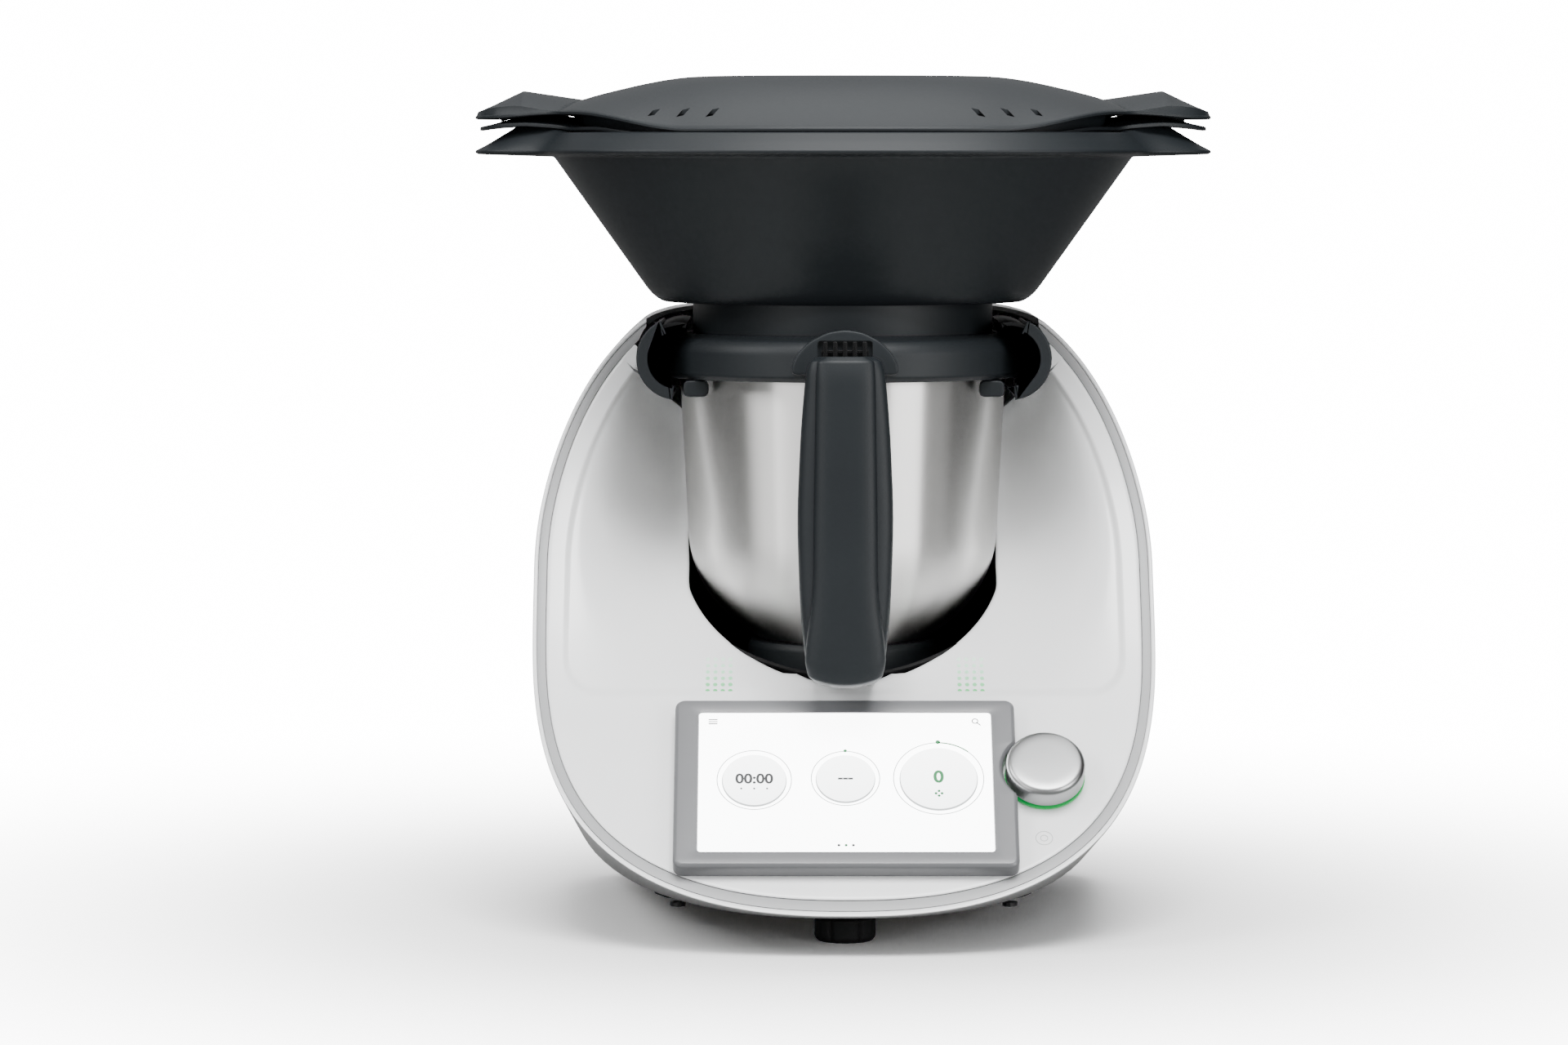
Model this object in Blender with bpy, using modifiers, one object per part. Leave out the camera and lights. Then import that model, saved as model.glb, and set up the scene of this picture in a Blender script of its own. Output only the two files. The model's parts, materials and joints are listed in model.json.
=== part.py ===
"""Countertop heated mixing machine with a three-tier steamer stacked on its bowl.

Frame: origin on the table under the middle of the machine, +X to its right side, +Y to
its back, +Z up. Figures below are millimetres; the mesh helpers turn them into metres.
"""
import math

import bmesh
import bpy
import numpy as np
from mathutils import Matrix

MM = 0.001
GAP = 0.3                    # clearance kept between neighbouring pieces

# Driving dimensions of the body.
BODY_HALF_WIDTH = 162.0
WIDEST_Z = 185.0
LIP_Z = 21.0
CROWN_Z = 334.0              # where the upper outline would close
TOP_Z = 317.0                # where it is cut flat
FLOOR_Z = 12.0
SHELL = 2.4
FRONT_WALL = 3.0

# The bowl and everything stacked on it share one upright axis.
AXIS_Y = 25.0
AXIS = (0.0, AXIS_Y, 0.0)
BOWL_R = 86.4                # outer radius of the bowl's rolled rim
LID_R = 98.0
LID_SPACE_R = 101.5
WELL_R = 88.5
WELL_LOW_R = 84.0
LEDGE_Z = 279.0
TURN_STEPS = 24              # one step count about the bowl axis keeps facets parallel

# Control panel on the 45 degree slope.
PANEL_ORIGIN = (0.0, -107.7, 76.3)
BEZEL_SIZE = (173.0, 106.6)
SCREEN_SIZE = (148.4, 88.2)
KNOB_UV = (101.0, 8.9)
KNOB_R = 20.0

# Lock arms beside the lid, turning about axes along Y.
ARM_X = 86.0
ARM_Z = 292.5

# Steamer ovals: half lengths, half depths and the exponent of the outline.
OVAL_POWER = 2.5
WING_POWER = 4.0
DISH_RIM = (160.0, 137.0)
TRAY_RIM = (147.5, 125.0)
STEAM_LID_RIM = (152.0, 130.0)
WING_TIP = 193.0             # reach of the dish's and the lid's wings from the axis
TRAY_TIP = 190.6
LID_SHEET = 2.3              # wall of the steamer lid
CLEARANCE = 3.8              # from the front face's skin to the well's trimmed edge
ARM_HOLE_R = 23.0
SHOULDER_Z = 409.2           # top of the dish's sloping shoulder, where the lid rests
DOME_Z = 438.5
RIM_STEPS = 36

FEET = {"front": (0.0, -100.0), "rear_left": (-90.0, 108.0), "rear_right": (90.0, 108.0)}

WHITE = ("white_abs", "#e9e9ea", 0.35, 0.0)
GREY = ("grey_abs", "#9b9c9d", 0.4, 0.0)
BEZEL_GREY = ("bezel_grey", "#8f9092", 0.35, 0.2)
SLATE = ("slate_pp", "#363b3e", 0.5, 0.0)
BLACK = ("black_pa", "#1b1c1e", 0.5, 0.0)
RUBBER = ("rubber", "#161617", 0.8, 0.0)
STEEL = ("brushed_steel", "#b9b9b8", 0.3, 1.0)
ALUMINIUM = ("satin_aluminium", "#b7b8b8", 0.3, 1.0)
COPPER = ("copper_winding", "#a4653a", 0.4, 0.9)
GLASS = ("screen_glass", "#f2f3f4", 0.08, 0.0)
BOARD = ("circuit_board", "#1f4a35", 0.5, 0.0)
GLOW = ("green_light", "#3fc27a", 0.3, 0.0)
SILICONE = ("silicone", "#8a8c8d", 0.6, 0.0)

COLLECTION = None
CUTTERS = None


# ---------------------------------------------------------------- helpers

def linear(channel):
    """One sRGB channel, 0 to 1, as linear light."""
    return channel / 12.92 if channel <= 0.04045 else ((channel + 0.055) / 1.055) ** 2.4


def material(finish):
    """The material for a finish tuple, made on first use."""
    name, code, roughness, metallic = finish
    found = bpy.data.materials.get(name)
    if found:
        return found
    made = bpy.data.materials.new(name)
    made.use_nodes = True
    shader = made.node_tree.nodes["Principled BSDF"]
    colour = [linear(int(code[i:i + 2], 16) / 255) for i in (1, 3, 5)]
    shader.inputs["Base Color"].default_value = (*colour, 1.0)
    shader.inputs["Roughness"].default_value = roughness
    shader.inputs["Metallic"].default_value = metallic
    made.diffuse_color = (*colour, 1.0)
    return made


def add_piece(name, data, finish=None):
    """An object in the model's collection, or among the cutters when it has no finish."""
    piece = bpy.data.objects.new(name, data)
    if finish:
        COLLECTION.objects.link(piece)
        data.materials.append(material(finish))
    else:
        CUTTERS.objects.link(piece)
        piece.hide_render = True
        piece.display_type = "WIRE"
    return piece


def shade(mesh, angle=35):
    """Round faces smooth, edges past the angle sharp."""
    mesh.shade_smooth()
    mesh.set_sharp_from_angle(angle=math.radians(angle))


def mesh_from(bm, name):
    bmesh.ops.recalc_face_normals(bm, faces=bm.faces)
    mesh = bpy.data.meshes.new(name)
    bm.to_mesh(mesh)
    bm.free()
    shade(mesh)
    return mesh


def block_into(bm, low, high):
    """Add a box between two corners, in millimetres, to a bmesh."""
    size = [(b - a) * MM for a, b in zip(low, high)]
    middle = [(a + b) * MM / 2 for a, b in zip(low, high)]
    place = Matrix.Translation(middle) @ Matrix.Diagonal((*size, 1.0))
    bmesh.ops.create_cube(bm, size=1.0, matrix=place)


def blocks(name, corners, finish=None):
    """One object of separate boxes, each given by its low and high corner."""
    bm = bmesh.new()
    for low, high in corners:
        block_into(bm, low, high)
    return add_piece(name, mesh_from(bm, name), finish)


def rods(name, radius, ends, finish=None, sides=16, axis="Z"):
    """Separate solid cylinders; ends holds (x, y, z, length) of each one's middle."""
    turn = {"Z": Matrix(), "Y": Matrix.Rotation(math.radians(90), 4, "X"),
            "X": Matrix.Rotation(math.radians(90), 4, "Y")}[axis]
    bm = bmesh.new()
    for x, y, z, length in ends:
        place = Matrix.Translation((x * MM, y * MM, z * MM)) @ turn
        bmesh.ops.create_cone(bm, cap_ends=True, segments=sides, radius1=radius * MM,
                              radius2=radius * MM, depth=length * MM, matrix=place)
    return add_piece(name, mesh_from(bm, name), finish)


def rod(name, radius, low, high, finish=None, at=(0.0, AXIS_Y), sides=TURN_STEPS):
    """One upright cylinder between two heights."""
    return rods(name, radius, [(*at, (low + high) / 2, high - low)], finish, sides)


def turned(name, profile, finish=None, at=AXIS, steps=TURN_STEPS):
    """A profile of (radius, height) points screwed round Z; closed unless it meets the axis."""
    points = list(profile)
    area = sum(a[0] * b[1] - b[0] * a[1] for a, b in zip(points, points[1:] + points[:1]))
    if area > 0:
        points.reverse()
    count = len(points)
    on_axis = [i for i, p in enumerate(points) if p[0] == 0]
    edges = [(i, (i + 1) % count) for i in range(count)]
    if on_axis:
        edges = [e for e in edges if not (e[0] in on_axis and e[1] in on_axis)]
    mesh = bpy.data.meshes.new(name)
    mesh.from_pydata([(r * MM, 0.0, z * MM) for r, z in points], edges, [])
    piece = add_piece(name, mesh, finish)
    piece.location = [value * MM for value in at]
    screw = piece.modifiers.new("turn", "SCREW")
    screw.steps = steps
    screw.render_steps = steps
    screw.use_merge_vertices = True
    screw.merge_threshold = 0.00001
    screw.use_smooth_shade = False
    return piece


def ring(name, inner, outer, low, high, finish=None, at=AXIS, steps=TURN_STEPS):
    """A flat-ended ring."""
    profile = [(inner, low), (inner, high), (outer, high), (outer, low)]
    return turned(name, profile, finish, at, steps)


def lofted(name, rings, finish=None, wrap=False):
    """Skin over rings of equal point count; the ends are capped, or joined when it wraps."""
    rings = [np.asarray(r, float) for r in rings]
    count = len(rings[0])
    points = np.concatenate(rings) * MM
    faces = []
    last = len(rings) if wrap else len(rings) - 1
    for level in range(last):
        low = level * count
        high = (level + 1) % len(rings) * count
        for i in range(count):
            j = (i + 1) % count
            faces.append((low + i, low + j, high + j, high + i))
    if not wrap:
        faces.append(tuple(range(count)))
        faces.append(tuple(range((len(rings) - 1) * count, len(rings) * count)))
    mesh = bpy.data.meshes.new(name)
    mesh.from_pydata(points.tolist(), [], faces)
    bm = bmesh.new()
    bm.from_mesh(mesh)
    bpy.data.meshes.remove(mesh)
    bmesh.ops.triangulate(bm, faces=bm.faces)
    return add_piece(name, mesh_from(bm, name), finish)


def plate(name, outlines, low, high, finish=None, upright=False):
    """Flat outlines as one 2D curve given thickness, then made a mesh with welded caps.

    Lying plates span heights low to high. Upright ones are drawn in X and Z and span Y.
    """
    curve = bpy.data.curves.new(name, "CURVE")
    curve.dimensions = "2D"
    curve.fill_mode = "BOTH"
    curve.extrude = (high - low) / 2 * MM
    for outline in outlines:
        spline = curve.splines.new("POLY")
        spline.points.add(len(outline) - 1)
        for point, (a, b) in zip(spline.points, outline):
            point.co = (a * MM, b * MM, 0.0, 1.0)
        spline.use_cyclic_u = True
    drawn = bpy.data.objects.new(name + "_outline", curve)
    COLLECTION.objects.link(drawn)
    middle = (low + high) / 2 * MM
    if upright:
        drawn.rotation_euler = (math.radians(90), 0.0, 0.0)
        drawn.location = (0.0, middle, 0.0)
    else:
        drawn.location = (0.0, 0.0, middle)
    bpy.context.view_layer.update()
    depsgraph = bpy.context.evaluated_depsgraph_get()
    mesh = bpy.data.meshes.new_from_object(drawn.evaluated_get(depsgraph))
    mesh.transform(drawn.matrix_world)
    bpy.data.objects.remove(drawn)
    bm = bmesh.new()
    bm.from_mesh(mesh)
    bpy.data.meshes.remove(mesh)
    bmesh.ops.remove_doubles(bm, verts=bm.verts, dist=0.000001)
    return add_piece(name, mesh_from(bm, name), finish)


def cut(piece, *cutters):
    """Take the cutters away from a piece, left as live modifiers."""
    for cutter in cutters:
        step = piece.modifiers.new("cut_" + cutter.name, "BOOLEAN")
        step.operation = "DIFFERENCE"
        step.object = cutter


def joined(piece, *others):
    """Unite helper solids, kept among the cutters, with a piece."""
    for other in others:
        step = piece.modifiers.new("join_" + other.name, "BOOLEAN")
        step.operation = "UNION"
        step.object = other


def arc(centre, radius, start, end, count):
    """Points along a circular arc, in degrees."""
    angles = np.radians(np.linspace(start, end, count))
    return [(centre[0] + radius * math.cos(a), centre[1] + radius * math.sin(a)) for a in angles]


def rounded_rectangle(width, height, radius, corner_points=4):
    """Outline about the origin with round corners."""
    x = width / 2 - radius
    y = height / 2 - radius
    corners = [((x, y), 0), ((-x, y), 90), ((-x, -y), 180), ((x, -y), 270)]
    outline = []
    for centre, start in corners:
        outline += arc(centre, radius, start, start + 90, corner_points)
    return outline


def place_on(piece, parent, offset=(0.0, 0.0, 0.0)):
    """Put a piece in its parent's frame, by an offset in millimetres."""
    piece.parent = parent
    piece.location = [value * MM for value in offset]


# ---------------------------------------------------------------- body shape

def smooth(t):
    t = np.clip(t, 0.0, 1.0)
    return t * t * (3 - 2 * t)


def rim_y(z):
    """Depth of the body's front rim: a 45 degree plane below, leaning back in a curve above."""
    t = np.clip((z - 110.0) / 207.0, 0.0, 1.12)
    return np.where(z < 110.0, z - 184.0, -74.0 + 207.0 * (t - 0.472 * t ** 1.8))


def outline_value(x, z):
    """Superellipse value of the front outline, 1 on the outline itself."""
    below = np.clip((WIDEST_Z - z) / (WIDEST_Z - LIP_Z), 0, None) ** 3.5
    above = np.clip((z - WIDEST_Z) / (CROWN_Z - WIDEST_Z), 0, None) ** 1.7
    power = 2.4 + 0.8 * smooth((z - 165.0) / 40.0)
    return (np.abs(x) / BODY_HALF_WIDTH) ** power + below + above


def half_width(z):
    """Half width of the front outline at a height."""
    below = np.clip((WIDEST_Z - z) / (WIDEST_Z - LIP_Z), 0, 1) ** 3.5
    above = np.clip((z - WIDEST_Z) / (CROWN_Z - WIDEST_Z), 0, 1) ** 1.7
    return np.where(z < WIDEST_Z, (1 - below) ** (1 / 2.4), (1 - above) ** (1 / 3.2)) * BODY_HALF_WIDTH


def front_y(x, z):
    """The front face: the rim surface, sunk by up to 55 mm towards the bowl."""
    width = np.maximum(half_width(z) - 103.0, 12.0)
    sunk = 1 - smooth((np.abs(x) - 84.0) / width)
    return rim_y(z) + 55.0 * smooth((z - 118.0) / 105.0) * sunk


def body_level(x, y, z):
    """Zero on the rear housing's outer skin, negative inside, in millimetres near the skin.

    The outline is swept back from the rim, level near the top and 12 degrees downwards
    below, and blended with the rounded back, the floor and the flat top.
    """
    level = z
    for _ in range(30):
        slope = math.tan(math.radians(12)) * (1 - smooth((level - 190.0) / 90.0))
        level = 0.5 * level + 0.5 * (z + (y - rim_y(level)) * slope)
    side = (outline_value(x, level) ** (1 / 2.9) - 1) * 150.0
    back = ((np.abs(x) / 168.0) ** 3.2 + (np.clip(y + 40.0, 0, None) / 203.0) ** 3.2) ** (1 / 3.2)
    walls = [side, (back - 1) * 160.0, FLOOR_Z - z, z - TOP_Z]
    return np.sqrt(sum(np.clip(w + 8.0, 0, None) ** 2 for w in walls)) - 8.0


def solve_radius(point_at, wanted, far=400.0):
    """Bisect the distance along rays where the body level reaches the wanted value."""
    low = np.zeros(point_at(0.0)[0].shape)
    high = low + far
    for _ in range(45):
        middle = (low + high) / 2
        outside = body_level(*point_at(middle)) > wanted
        high = np.where(outside, middle, high)
        low = np.where(outside, low, middle)
    return (low + high) / 2


def rim_outline(count):
    """Outline of the rim as x and z, by rays from its widest height."""
    angles = np.linspace(0, 2 * math.pi, count, endpoint=False)
    across = np.cos(angles)
    up = np.sin(angles)

    def point_at(r):
        z = WIDEST_Z + r * up
        return r * across, rim_y(z), z

    radius = solve_radius(point_at, 0.0)
    return radius * across, WIDEST_Z + radius * up


def inset(x, z, distance):
    """The outline moved inwards along its own normals."""
    along_x = np.roll(x, -1) - np.roll(x, 1)
    along_z = np.roll(z, -1) - np.roll(z, 1)
    length = np.hypot(along_x, along_z)
    return x - distance * along_z / length, z + distance * along_x / length


def rear_housing_rings(x, z, steps):
    """Rings of the outer and inner skins from the rim to the pole at the back."""
    centre = np.array([0.0, 30.0, 140.0])
    rim = np.stack([x, rim_y(z), z], 1)
    start = rim - centre
    start /= np.linalg.norm(start, axis=1)[:, None]
    back = np.array([0.0, 1.0, 0.0])
    angle = np.arccos(np.clip(start @ back, -1, 1))[:, None]
    skins = []
    for wanted in (0.0, -SHELL):
        rings = []
        for k in range(1, steps):
            f = k / steps
            ray = (np.sin((1 - f) * angle) * start + np.sin(f * angle) * back) / np.sin(angle)
            radius = solve_radius(lambda r: tuple(centre[i] + r * ray[:, i] for i in range(3)), wanted)
            rings.append(centre + radius[:, None] * ray)
        skins.append(rings)
    inner_x, inner_z = inset(x, z, SHELL)
    lip = np.stack([inner_x, rim_y(inner_z), inner_z], 1)
    return [rim] + skins[0], [lip] + skins[1]


def capped_shell(name, outer, inner, finish):
    """A shell whose outer and inner rings run from a shared lip to separate end caps."""
    return lofted(name, outer[::-1] + inner, finish)


# ---------------------------------------------------------------- body pieces

def build_cutters():
    """Solids that openings share."""
    heights = np.concatenate([np.linspace(-10, 110, 5), np.linspace(130, 330, 11)])
    widths = np.concatenate([np.linspace(-200, -84, 9), np.linspace(-40, 40, 3), np.linspace(84, 200, 9)])
    front = []
    back = []
    for z in heights:
        row = np.stack([widths, front_y(widths, z) + CLEARANCE, np.full(len(widths), z)], 1)
        flat = np.stack([widths, np.full(len(widths), -300.0), np.full(len(widths), z)], 1)
        back.append(row)
        front.append(flat)
    rings = [np.concatenate([b, f[::-1]]) for b, f in zip(back, front)]
    return {
        "front_space": lofted("front_space", rings),
        "well_low": rod("well_low", WELL_LOW_R, 60, 190, sides=TURN_STEPS * 2),
        "well_high": rod("well_high", WELL_R, 186, 285, sides=TURN_STEPS * 2),
        "lid_space": rod("lid_space", LID_SPACE_R, LEDGE_Z, 360, sides=TURN_STEPS * 2),
        "lid_space_wide": rod("lid_space_wide", LID_SPACE_R + 3, LEDGE_Z, 360, sides=TURN_STEPS * 2),
        "arm_holes": rods("arm_holes", ARM_HOLE_R, [(s * ARM_X, 35, ARM_Z, 190) for s in (-1, 1)],
                          sides=20, axis="Y"),
    }


def floor_outline(margin):
    """Outline of the floor plate: wide front corners stay inside the tapering housing."""
    half, back, front = 100.0, 120.0, -60.0
    outline = []
    for x, y, radius, start in ((half, back, 6, 0), (-half, back, 6, 90), (-half, front, 50, 180),
                                (half, front, 50, 270)):
        centre = (math.copysign(half - radius, x), y - math.copysign(radius, y))
        outline += arc(centre, radius + margin, start, start + 90, 7)
    return outline


def build_housings(cutters, panel):
    x, z = rim_outline(40)
    outer, inner = rear_housing_rings(x, z, 7)
    rear = capped_shell("rear_housing", outer, inner, WHITE)
    floor_opening = plate("floor_opening", [floor_outline(0.6)], 5, 20)
    vents = blocks("rear_vent_slots", [((k * 12 - 3, 130, 62), (k * 12 + 3, 180, 98)) for k in range(-3, 4)])
    cord_hole = rods("cord_hole", 9.4, [(60, 155, 40, 40)], axis="Y")
    foot_hole = rod("foot_hole", 9.4, 5, 25, at=FEET["front"], sides=16)
    cut(rear, cutters["lid_space_wide"], floor_opening, vents, cord_hole, foot_hole)

    band_rings = []
    for distance, depth in ((3.2, 1.2), (6.7, 1.2), (6.7, 3.5), (3.2, 3.5)):
        bx, bz = inset(x, z, distance)
        band_rings.append(np.stack([bx, rim_y(bz) + depth, bz], 1))
    band = lofted("trim_band", band_rings, GREY, wrap=True)
    cut(band, cutters["lid_space_wide"], cutters["arm_holes"])

    edge_x, edge_z = inset(x, z, 7.0)
    shares = (1.0, 0.93, 0.8, 0.58, 0.34)
    rings = [(edge_x * f, WIDEST_Z + (edge_z - WIDEST_Z) * f) for f in shares]
    face = [np.stack([rx, front_y(rx, rz), rz], 1) for rx, rz in rings]
    back = [ring_points + (0.0, FRONT_WALL, 0.0) for ring_points in face]
    front = lofted("front_housing", face + back[::-1], WHITE, wrap=True)
    window = plate("display_window", [rounded_rectangle(160, 96, 4)], -20, 20)
    knob_hole = rods("knob_hole", 5.5, [(*KNOB_UV, 0, 40)])
    place_on(window, panel)
    place_on(knob_hole, panel)
    cut(front, cutters["well_low"], cutters["well_high"], cutters["lid_space"],
        cutters["arm_holes"], window, knob_hole)


def build_well(cutters):
    wall = 2.5
    inside = [(16, 104), (62, 104), (WELL_LOW_R, 150), (WELL_LOW_R, 190), (WELL_R, 276),
              (LID_SPACE_R, LEDGE_Z), (LID_SPACE_R, 306)]
    outside = [(LID_SPACE_R + wall, 306), (LID_SPACE_R + wall, LEDGE_Z - wall),
               (WELL_R + wall, 276 - wall), (WELL_LOW_R + wall, 190), (WELL_LOW_R + wall, 150),
               (62, 104 - wall), (16, 104 - wall)]
    well = turned("bowl_well", inside + outside, BLACK)
    slots = blocks("socket_slot", [((-9, AXIS_Y + 40, 90), (9, AXIS_Y + 50, 120))])
    cut(well, cutters["front_space"], cutters["arm_holes"], slots)


def build_base():
    base = plate("base_plate", [floor_outline(0.0)], 12, 14.5, BLACK)
    vents = blocks("base_vents", [((k * 10 - 2.5, -5, 5), (k * 10 + 2.5, 55, 20)) for k in range(-3, 4)])
    holes = rods("foot_holes", 6.6, [(*FEET[side], 12, 20) for side in ("rear_left", "rear_right")])
    cut(base, vents, holes)
    for side, x in (("left", -86), ("right", 86)):
        for end, y in (("front", -50), ("rear", 72)):
            rods("base_screw_%s_%s" % (end, side), 4, [(x, y, 10.7, 2.0)], STEEL, sides=12)
    profile = [(0, 0), (13.5, 0), (15.5, 2), (15.5, 11.7), (6, 11.7), (6, 14.6), (0, 14.6)]
    for side, (x, y) in FEET.items():
        turned("foot_" + side, profile, RUBBER, (x, y, 0), 20)
        rods("load_cell_" + side, 9, [(x, y, 17.6, 5.4)], ALUMINIUM, sides=12)
    frame = ring("motor_frame", 17, 75, 93, 96.5, ALUMINIUM)
    posts = [(sx * 46, AXIS_Y + sy * 46, 54.4, 79.0) for sx in (-1, 1) for sy in (-1, 1)]
    joined(frame, rods("frame_posts", 5, posts, sides=10))
    power = blocks("power_board", [((-96, 0, 22), (-94.4, 90, 82))], BOARD)
    parts = blocks("board_parts", [((-94.6, 10, 30), (-80, 34, 54)), ((-94.6, 42, 30), (-84, 60, 70)),
                                   ((-94.6, 66, 34), (-86, 82, 50))])
    joined(power, parts)
    gland = rods("cord_inlet", 9, [(60, 156.4, 40, 13)], BLACK, axis="Y")
    cut(gland, rods("cord_bore", 3.8, [(60, 156, 40, 40)], sides=12, axis="Y"))


def build_drive():
    ring("motor_case", 45, 48, 30, 92.6, ALUMINIUM)
    ring("motor_stator", 26, 44.6, 37, 84, COPPER)
    ring("upper_bearing", 5.3, 11, 87, 92.4, STEEL, steps=16)
    ring("lower_bearing", 5.3, 11, 29.5, 34.5, STEEL, steps=16)
    ring("motor_rotor", 5.3, 25.2, 38, 83, STEEL)
    rod("motor_shaft", 5, 19, 113, STEEL, sides=16)
    fan = ring("cooling_fan", 5.3, 11, 20.5, 28, BLACK, steps=16)
    blades = blocks("fan_blades", [((9, -0.9, 21), (40, 0.9, 27.5))])
    for k in range(7):
        blade = add_piece("fan_blade_%d" % k, blades.data)
        blade.matrix_world = (Matrix.Translation((0, AXIS_Y * MM, 0)) @
                              Matrix.Rotation(k * math.tau / 7, 4, "Z") @
                              Matrix.Rotation(math.radians(0.01), 4, "X"))
        joined(fan, blade)
    bpy.data.objects.remove(blades)
    cup = [(5.3, 106.3), (13, 106.3), (13, 118), (7.4, 118), (7.4, 113.6), (5.3, 113.6)]
    turned("drive_coupling", cup, BLACK, steps=16)


# ---------------------------------------------------------------- bowl pieces

def bowl_radius(z):
    """Outer radius of the steel bowl: a slight taper on an elliptical bottom."""
    if z >= 200:
        return 81.6 + (z - 200) * (85.7 - 81.6) / 77
    return 81.5 * math.sqrt(1 - ((200 - z) / 68) ** 2)


def build_bowl():
    heights = [141, 147, 156, 168, 183, 200, 277]
    outside = [(14.2, 133.4)] + [(bowl_radius(z), z) for z in heights] + [(BOWL_R, 288), (BOWL_R, 292)]
    inside = [(84.6, 292), (84.4, 277)]
    inside += [(bowl_radius(z) - 1.3, z + 0.7) for z in (200, 183, 168, 156, 147, 141.5)]
    inside += [(14.2, 135)]
    turned("mixing_bowl", outside + inside, STEEL)
    ring_profile = [(36, 107), (50, 107), (50, 139), (48.6, 142), (bowl_radius(142) + 0.9, 142),
                    (bowl_radius(138) + 0.9, 138), (36, 131.6)]
    turned("bowl_base", ring_profile, BLACK)
    ring("heater_plate", 16, 30, 127.2, 130.8, ALUMINIUM)
    contacts = blocks("bowl_contacts", [((-7, AXIS_Y + 41.4, 104.3), (7, AXIS_Y + 44.6, 106.7))], STEEL)
    pins = [(k * 4.5, AXIS_Y + 43, 101.3, 7.4) for k in (-1, 0, 1)]
    joined(contacts, rods("contact_pins", 1.4, pins, sides=8))
    socket = blocks("power_socket", [((-8.5, AXIS_Y + 38, 97), (8.5, AXIS_Y + 48, 101.2))], BLACK)
    cut(socket, rods("contact_bores", 2.2, [(k * 4.5, AXIS_Y + 43, 99, 20) for k in (-1, 0, 1)], sides=8))
    ring("blade_bearing", 4.5, 13.4, 119, 146, BLACK)
    rod("blade_shaft", 4, 119.8, 152, STEEL, sides=16)


def build_knife():
    hub = turned("mixing_knife", [(0, 152.3), (11, 152.3), (11, 160), (6, 165), (0, 165)], STEEL, steps=16)
    lifts = (154.0, 157.5, 154.0, 157.5)
    for k, (height, reach) in enumerate(zip(lifts, (47, 42, 47, 42))):
        blade = blocks("knife_blade_%d" % k, [((6, -5, -0.9), (reach, 5, 0.9))])
        blade.matrix_world = (Matrix.Translation((0, AXIS_Y * MM, height * MM + 0.001)) @
                              Matrix.Rotation(k * math.tau / 4 + 0.1, 4, "Z") @
                              Matrix.Rotation(math.radians(-6 if k % 2 else 5), 4, "Y"))
        joined(hub, blade)


def build_lid():
    profile = [(LID_R, 286), (LID_R, 299), (LID_R - 2.5, 303), (81.5, 304.5), (81, 302.2), (74, 302.2),
               (73.5, 307), (70, 307.6), (32, 299.5), (30, 298), (30, 294.5), (32, 294.5),
               (68, 302), (72, 299.4), (87.2, 299.4), (87.2, 281.5), (LID_R - 2, 281.5), (LID_R, 284)]
    turned("bowl_lid", profile, SLATE)
    ring("lid_seal", 79.5, 86.2, 292.4, 299.1, SILICONE)
    arch = [(-27, 286), (-27, 291), (-24, 297), (-18, 303), (-9, 307.6), (0, 309)]
    outline = arch + [(-a, b) for a, b in arch[-2::-1]]
    hood = plate("lid_hood", [outline], -81, -73.6, SLATE, upright=True)
    recess = blocks("grille_recess", [((-14, -90, 292), (14, -78.5, 303.5))])
    cut(hood, recess)
    ribs = [((k * 5 - 1.1, -81.6, 292.6), (k * 5 + 1.1, -78.9, 303.0)) for k in range(-2, 3)]
    grille = blocks("lid_grille", ribs, BLACK)
    joined(grille, blocks("grille_bar", [((-12, -80.4, 297), (12, -78.8, 298.6))]))


def oval_ring(half_x, half_y, power, z, centre_y, count):
    """Flat superellipse ring."""
    t = np.linspace(0, 2 * math.pi, count, endpoint=False)
    c, s = np.cos(t), np.sin(t)
    x = half_x * np.sign(c) * np.abs(c) ** (2 / power)
    y = centre_y + half_y * np.sign(s) * np.abs(s) ** (2 / power)
    return np.stack([x, y, np.full(count, z)], 1)


def build_handle():
    sections = [(129.5, 14, 6), (131, 18, 9.5), (140, 20, 11), (170, 23, 11), (215, 24.5, 11),
                (260, 22.5, 11), (288, 20, 11), (294, 18, 9.5), (296, 14, 6)]
    rings = [oval_ring(width, depth, 3.0, z, -101, 16) for z, width, depth in sections]
    handle = lofted("bowl_handle", rings, SLATE)
    lower = blocks("handle_lower_link", [((-17, -96, 131.5), (17, -25.6, 143))])
    upper = blocks("handle_upper_link", [((-16, -96, 262), (16, -61.9, 280.6))])
    follow = turned("bowl_clearance", [(0, 100), (bowl_radius(143) + 6, 100), (bowl_radius(143) + 6, 133),
                                       (bowl_radius(150) + 0.6, 143.6), (0, 143.6)])
    joined(handle, lower, upper)
    cut(handle, follow)


# ---------------------------------------------------------------- locks and panel

def sector(centre, inner, outer, start, end, count):
    """Outline of a ring sector, seen from the front, in degrees."""
    return arc(centre, outer, start, end, count) + arc(centre, inner, end, start, count)


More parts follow.
